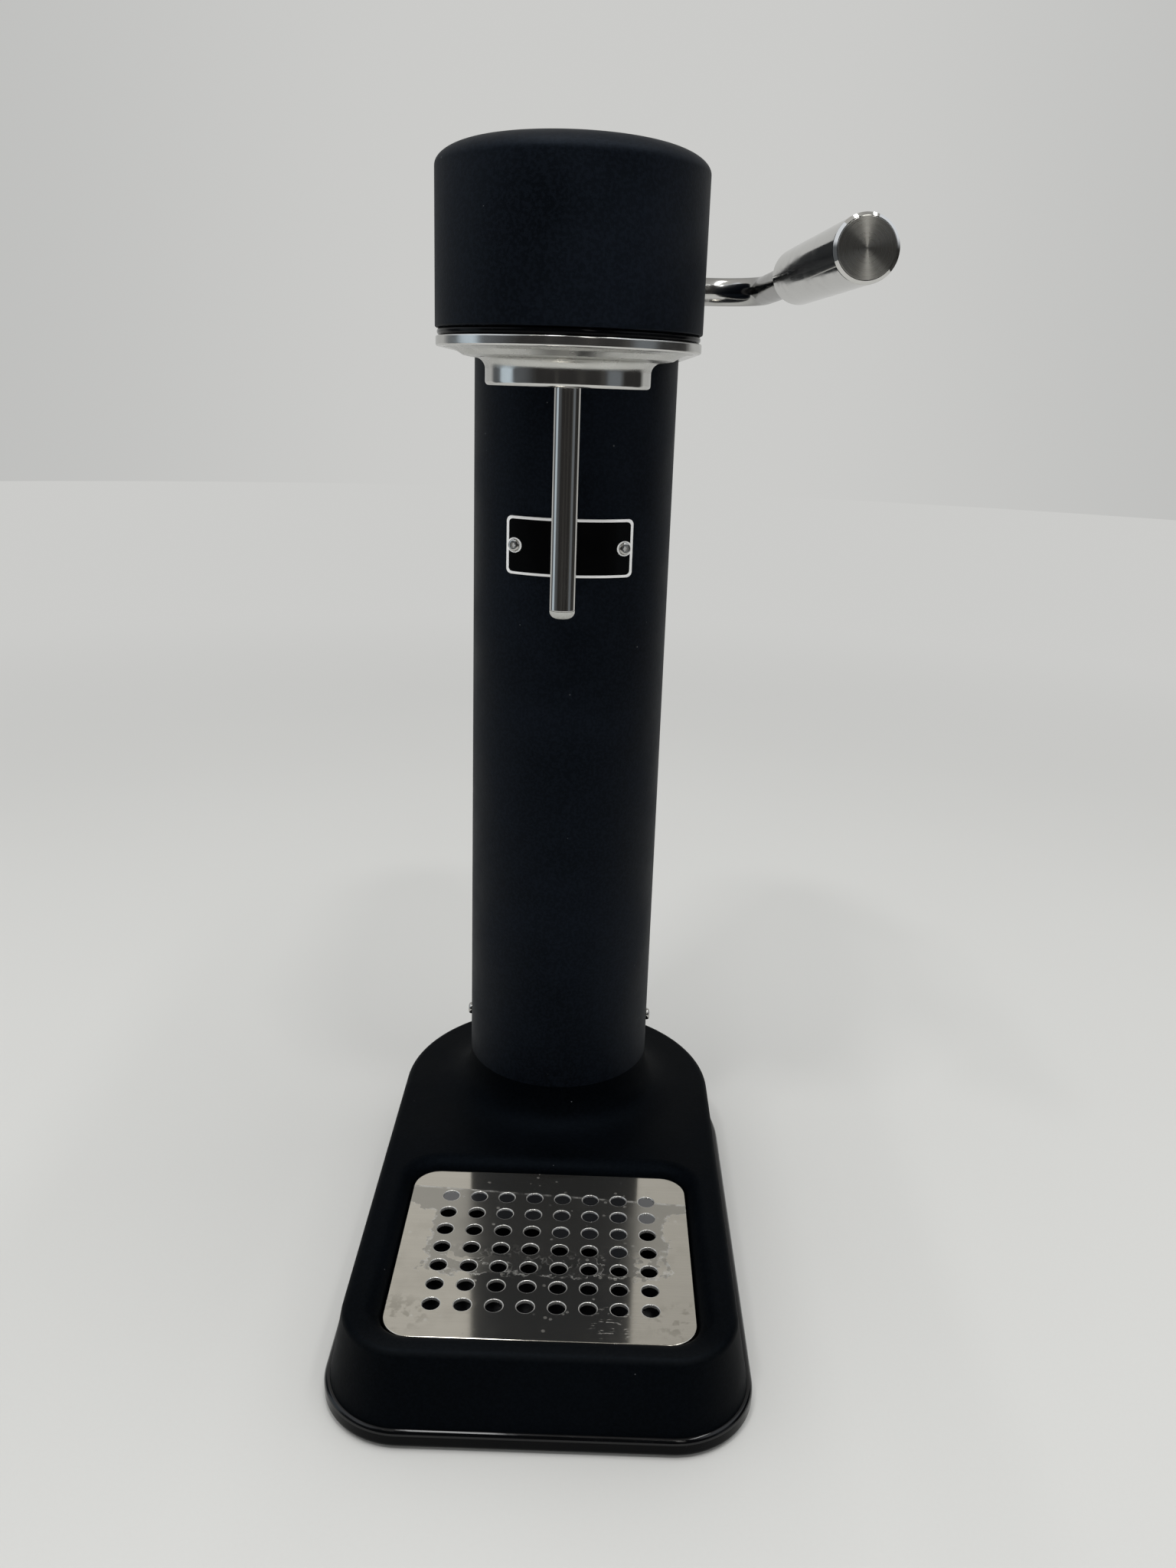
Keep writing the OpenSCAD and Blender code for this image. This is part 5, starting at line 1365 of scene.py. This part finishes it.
def button_screw(name, head_r, head_h, shank_r, shank_l):
    shape = Shape()
    socket_r = head_r * SOCKET
    rings = [screw_ring(shank_r, -shank_l), screw_ring(shank_r, 0), screw_ring(head_r, 0)]
    rings.append(screw_ring(head_r, head_h * BRIM))
    for share in DOME:
        radius = head_r - (head_r - socket_r * MOUTH) * share
        height = head_h * (BRIM + (1 - BRIM) * sqrt(1 - (1 - share) ** 2))
        rings.append(screw_ring(radius, height))
    rings.append(screw_ring(socket_r, head_h * MOUTH_DROP, LOBE_DEPTH))
    rings.append(screw_ring(socket_r * SOCKET_FLOOR, -head_h * SOCKET_DEPTH, LOBE_DEPTH))
    shape.capped(rings)
    return shape.to_object(name, [SCREW], sharp=40)


print("socket with", LOBES, "lobes")

# %% [markdown]
# A screw is turned about Z with its seat at the origin. To set it, its Z axis is pointed out of
# the column and its seat is moved to the surface. The badge's screws sit on the badge.

# %% Screws in place
BADGE_SCREW = {"head_r": 2.45, "head_h": 1.0, "shank_r": 1.45, "shank_l": 6}
SIDE_SCREW = {"head_r": 2.6, "head_h": 1.5, "shank_r": 1.45, "shank_l": 5}


def aimed(place, way, axis):
    """Puts something at a place in metres, with one of its own axes along a way."""
    return Matrix.Translation(place) @ way.to_track_quat(axis, "Y").to_matrix().to_4x4()


def set_screw(piece, z, radius, out, node):
    seat = Vector((0, COLUMN_Y, z)) + radius * out
    piece.matrix_world = aimed(seat * MM, out, "Z")
    settle(piece, "stand", "bright_screws", node)


side_low, side_high = box_mm("column_screws")
for number, side in enumerate((-1, 1)):
    out = Vector((side * sin(badge_turn), -cos(badge_turn), 0))
    badge_screw = button_screw(f"badge_screw_{number}", **BADGE_SCREW)
    set_screw(badge_screw, BADGE_Z, badge_seat_r, out, "badge_screws")
    side_screw = button_screw(f"side_screw_{number}", **SIDE_SCREW)
    set_screw(side_screw, (side_low.z + side_high.z) / 2, COLUMN_R, Vector((side, 0, 0)), "column_screws")

# %% [markdown]
# Everything else keeps its CAD mesh, because its shape is already right: the rubber mat, the
# socket in the collar and all that works inside the head and the column. Each gets its finish.

# %% Finishes on the other solids
KEPT = {
    RUBBER: ("foot_mat", "cylinder_seal", "plunger_seal"),
    SILICONE: ("bottle_seal",),
    INNER: ("column_socket", "cylinder_guide", "bottle_socket"),
    SCREW: ("plinth_screws", "block_screws", "shell_screws", "socket_screws", "cam_screw"),
    PLAIN: ("lever_cam", "shaft_clip", "plunger", "valve_pin"),
    CAST: ("head_chassis",),
    DRAWN: ("gas_cylinder",),
    BRASS: ("shaft_bushes", "valve_block", "pipe_nuts", "relief_valve", "nozzle_carrier", "cylinder_valve"),
    COPPER: ("gas_pipe",),
    RED: ("relief_cap",),
}
for finish, nodes in KEPT.items():
    for node in nodes:
        mesh = frame["nodes"][node].data
        mesh.materials.clear()
        mesh.materials.append(finish.material)
print("kept nodes:", sum(len(nodes) for nodes in KEPT.values()))

# %% [markdown]
# The machine stands on a plain pale floor under a pale sky. Near the machine the floor is a lit
# surface and takes its shadow. Further out it fades into the colour of the level sky, so that the
# horizon is only a faint line.

# %% Floor
FLOOR_RINGS = (0, 400, 1200, 4000)
FADE_NEAR, FADE_FAR = 0.55, 1.5
FLOOR_TONES = ((0.6, 0.598, 0.578), (0.65, 0.648, 0.626))
PALE_LEVEL = (0.6, 0.6, 0.587)


def pale_floor():
    finish = Finish("pale_floor", {"Specular IOR Level": 0.15})
    cloud = finish.noise(420, 3.0)
    fibre = finish.noise(1.4, 2.0)
    colour = finish.mix(0.7 * cloud + 0.3 * fibre, *FLOOR_TONES)
    finish.feed({"Base Color": colour, "Roughness": 0.75 + 0.1 * fibre})
    glow = finish.node("ShaderNodeEmission", {}, {"Color": (*PALE_LEVEL, 1)})
    share = finish.from_axis().rise(FADE_NEAR, FADE_FAR) * finish.seen_directly()
    lit = Wire(finish, finish.shader.outputs[0])
    mixed = finish.node("ShaderNodeMixShader", {}, {0: share, 1: lit, 2: glow})
    finish.tree.links.new(mixed.socket, finish.tree.nodes["Material Output"].inputs["Surface"])
    shape = Shape()
    shape.turn((0, 0), [(radius, 0) for radius in FLOOR_RINGS])
    return shape.to_object("pale_floor", [finish])


pale_floor()
print("the floor fades between", FADE_NEAR, "and", FADE_FAR, "m")

# %% [markdown]
# The camera and polished metal see that pale sky. It is a little dimmer to both sides and overhead,
# most of all overhead on the right. Everything else is lit by the lamps and by an even, soft light
# from all round.

# %% Sky
PALE_SIDE = (0.52, 0.522, 0.512)
PALE_TOP_LEFT, PALE_TOP_RIGHT = (0.52, 0.514, 0.496), (0.38, 0.376, 0.362)
SOFT_LIGHT = (0.62, 0.625, 0.63)


def pale_sky():
    finish = Finish("pale_sky", {"Strength": 1.0}, bpy.data.worlds, "Background")
    way = finish.node("ShaderNodeTexCoord", {}, {}, "Generated")
    across = finish.node("ShaderNodeSeparateXYZ", {}, {"Vector": way}, "X")
    up = finish.node("ShaderNodeSeparateXYZ", {}, {"Vector": way}, "Z")
    seen = finish.mix(abs(across).rise(0.1, 0.5), PALE_LEVEL, PALE_SIDE)
    overhead = finish.mix(across.rise(-0.15, 0.12), PALE_TOP_LEFT, PALE_TOP_RIGHT)
    seen = finish.mix(up.rise(0.3, 0.8), seen, overhead)
    return finish.feed({"Color": finish.mix(finish.seen_directly(), SOFT_LIGHT, seen)})


bpy.context.scene.world = pale_sky().material
bpy.context.scene.view_settings.view_transform = "Standard"
print("sky:", bpy.context.scene.world.name)

# %% [markdown]
# The light is that of a plain room: two long tubes overhead and two small lamps in front, which draw
# the thin bright lines on the edges. A row gives a lamp's place, the point that it faces, its size,
# all in metres, and its power in watts.

# %% Lamps
BASE_MIDDLE = (0, -0.1, 0.1)
LAMPS = {
    "tube_left": ((-0.2, -0.3, 1.9), (-0.2, -0.3, 0), (0.18, 1.4), 6.8),
    "tube_right": ((0.68, -0.3, 1.9), (0.68, -0.3, 0), (0.16, 1.4), 5.8),
    "lamp_front_left": ((-0.52, -0.95, 1.8), BASE_MIDDLE, (0.24, 0.12), 6),
    "lamp_front_right": ((0.36, -0.95, 1.8), BASE_MIDDLE, (0.2, 0.12), 5),
}


def soft_panel(name, place, aim, size, power):
    lamp = bpy.data.lights.new(name, "AREA")
    lamp.shape = "RECTANGLE"
    lamp.size, lamp.size_y = size
    lamp.energy = power
    made = bpy.data.objects.new(name, lamp)
    made.matrix_world = aimed(Vector(place), Vector(aim) - Vector(place), "-Z")
    made.visible_camera = False
    bpy.context.scene.collection.objects.link(made)


for name, settings in LAMPS.items():
    soft_panel(name, *settings)
print("lamps:", len(bpy.data.lights))

# %% [markdown]
# Polished metal shows whatever stands around it, and behind the camera the room is dark. A tall
# dark card bent round the front, seen only in reflections, gives the steel that dark heart between
# its bright edges. The card is paler towards its sides, with a window at the far left and daylight
# high up on both sides. A bright stretch high in front is a lit beam, which draws the wedges on the
# turned end of the grip.

# %% Dark card
CARD_R = 850
CARD_TURN = 132
CARD_LOW, CARD_TOP = 15, 1750
BEAM_X = 0.32
CARD_TONES = ((0.03, 0.029, 0.028), (0.085, 0.082, 0.076))
SIDE_TONE = (0.17, 0.185, 0.2)
WINDOW_TONE = (0.62, 0.72, 0.8)
DAYLIGHT_TONE = (0.9, 0.94, 1.0)
BEAM_TONE = (2.1, 2.07, 1.96)


def dark_card():
    shape = Shape()
    bend = outline([(0, 0, CARD_R, -90 - CARD_TURN, CARD_TURN - 90)], 4)
    shape.skin(shape.ring(ring_at(bend, 0, CARD_LOW)), shape.ring(ring_at(bend, 0, CARD_TOP)), closed=False)
    settings = {"Base Color": (0, 0, 0, 1), "Emission Strength": 1.0, "Specular IOR Level": 0.0}
    finish = Finish("dark_card", settings)
    streak = finish.noise(160, 3.0, (1, 1, 0.15)).rise(0.45, 0.75)
    across = finish.axis("X") / (CARD_R * MM)
    ahead = finish.axis("Y") / (-CARD_R * MM)
    left = 0 - across
    far_left = 0.55 * left.rise(0.6, 0.9)
    right_band = across.rise(0.76, 0.84) * (1 - across.rise(0.95, 0.99)) * ahead.rise(0.0, 0.15)
    window = left.rise(0.95, 0.985) * ahead.rise(-0.22, -0.1)
    height = finish.axis("Z")
    high_side = abs(across).rise(0.55, 0.85) * height.rise(0.45, 0.7)
    beam = (1 - abs(across - BEAM_X).rise(0.04, 0.1)) * ahead.rise(0.3, 0.5)
    shade = finish.mix(streak, *CARD_TONES)
    shade = finish.mix(far_left.larger(right_band), shade, SIDE_TONE)
    shade = finish.mix(window, shade, WINDOW_TONE)
    shade = finish.mix(high_side, shade, DAYLIGHT_TONE)
    shade = finish.mix(beam * height.rise(0.55, 0.75), shade, BEAM_TONE)
    finish.feed({"Emission Color": shade, "Alpha": ahead.rise(-0.62, -0.42)})
    card = shape.to_object("dark_card", [finish])
    card.visible_camera = False
    card.visible_diffuse = False
    card.visible_shadow = False
    return card


dark_card()
print("card from", CARD_LOW, "to", CARD_TOP, "mm")

# %% [markdown]
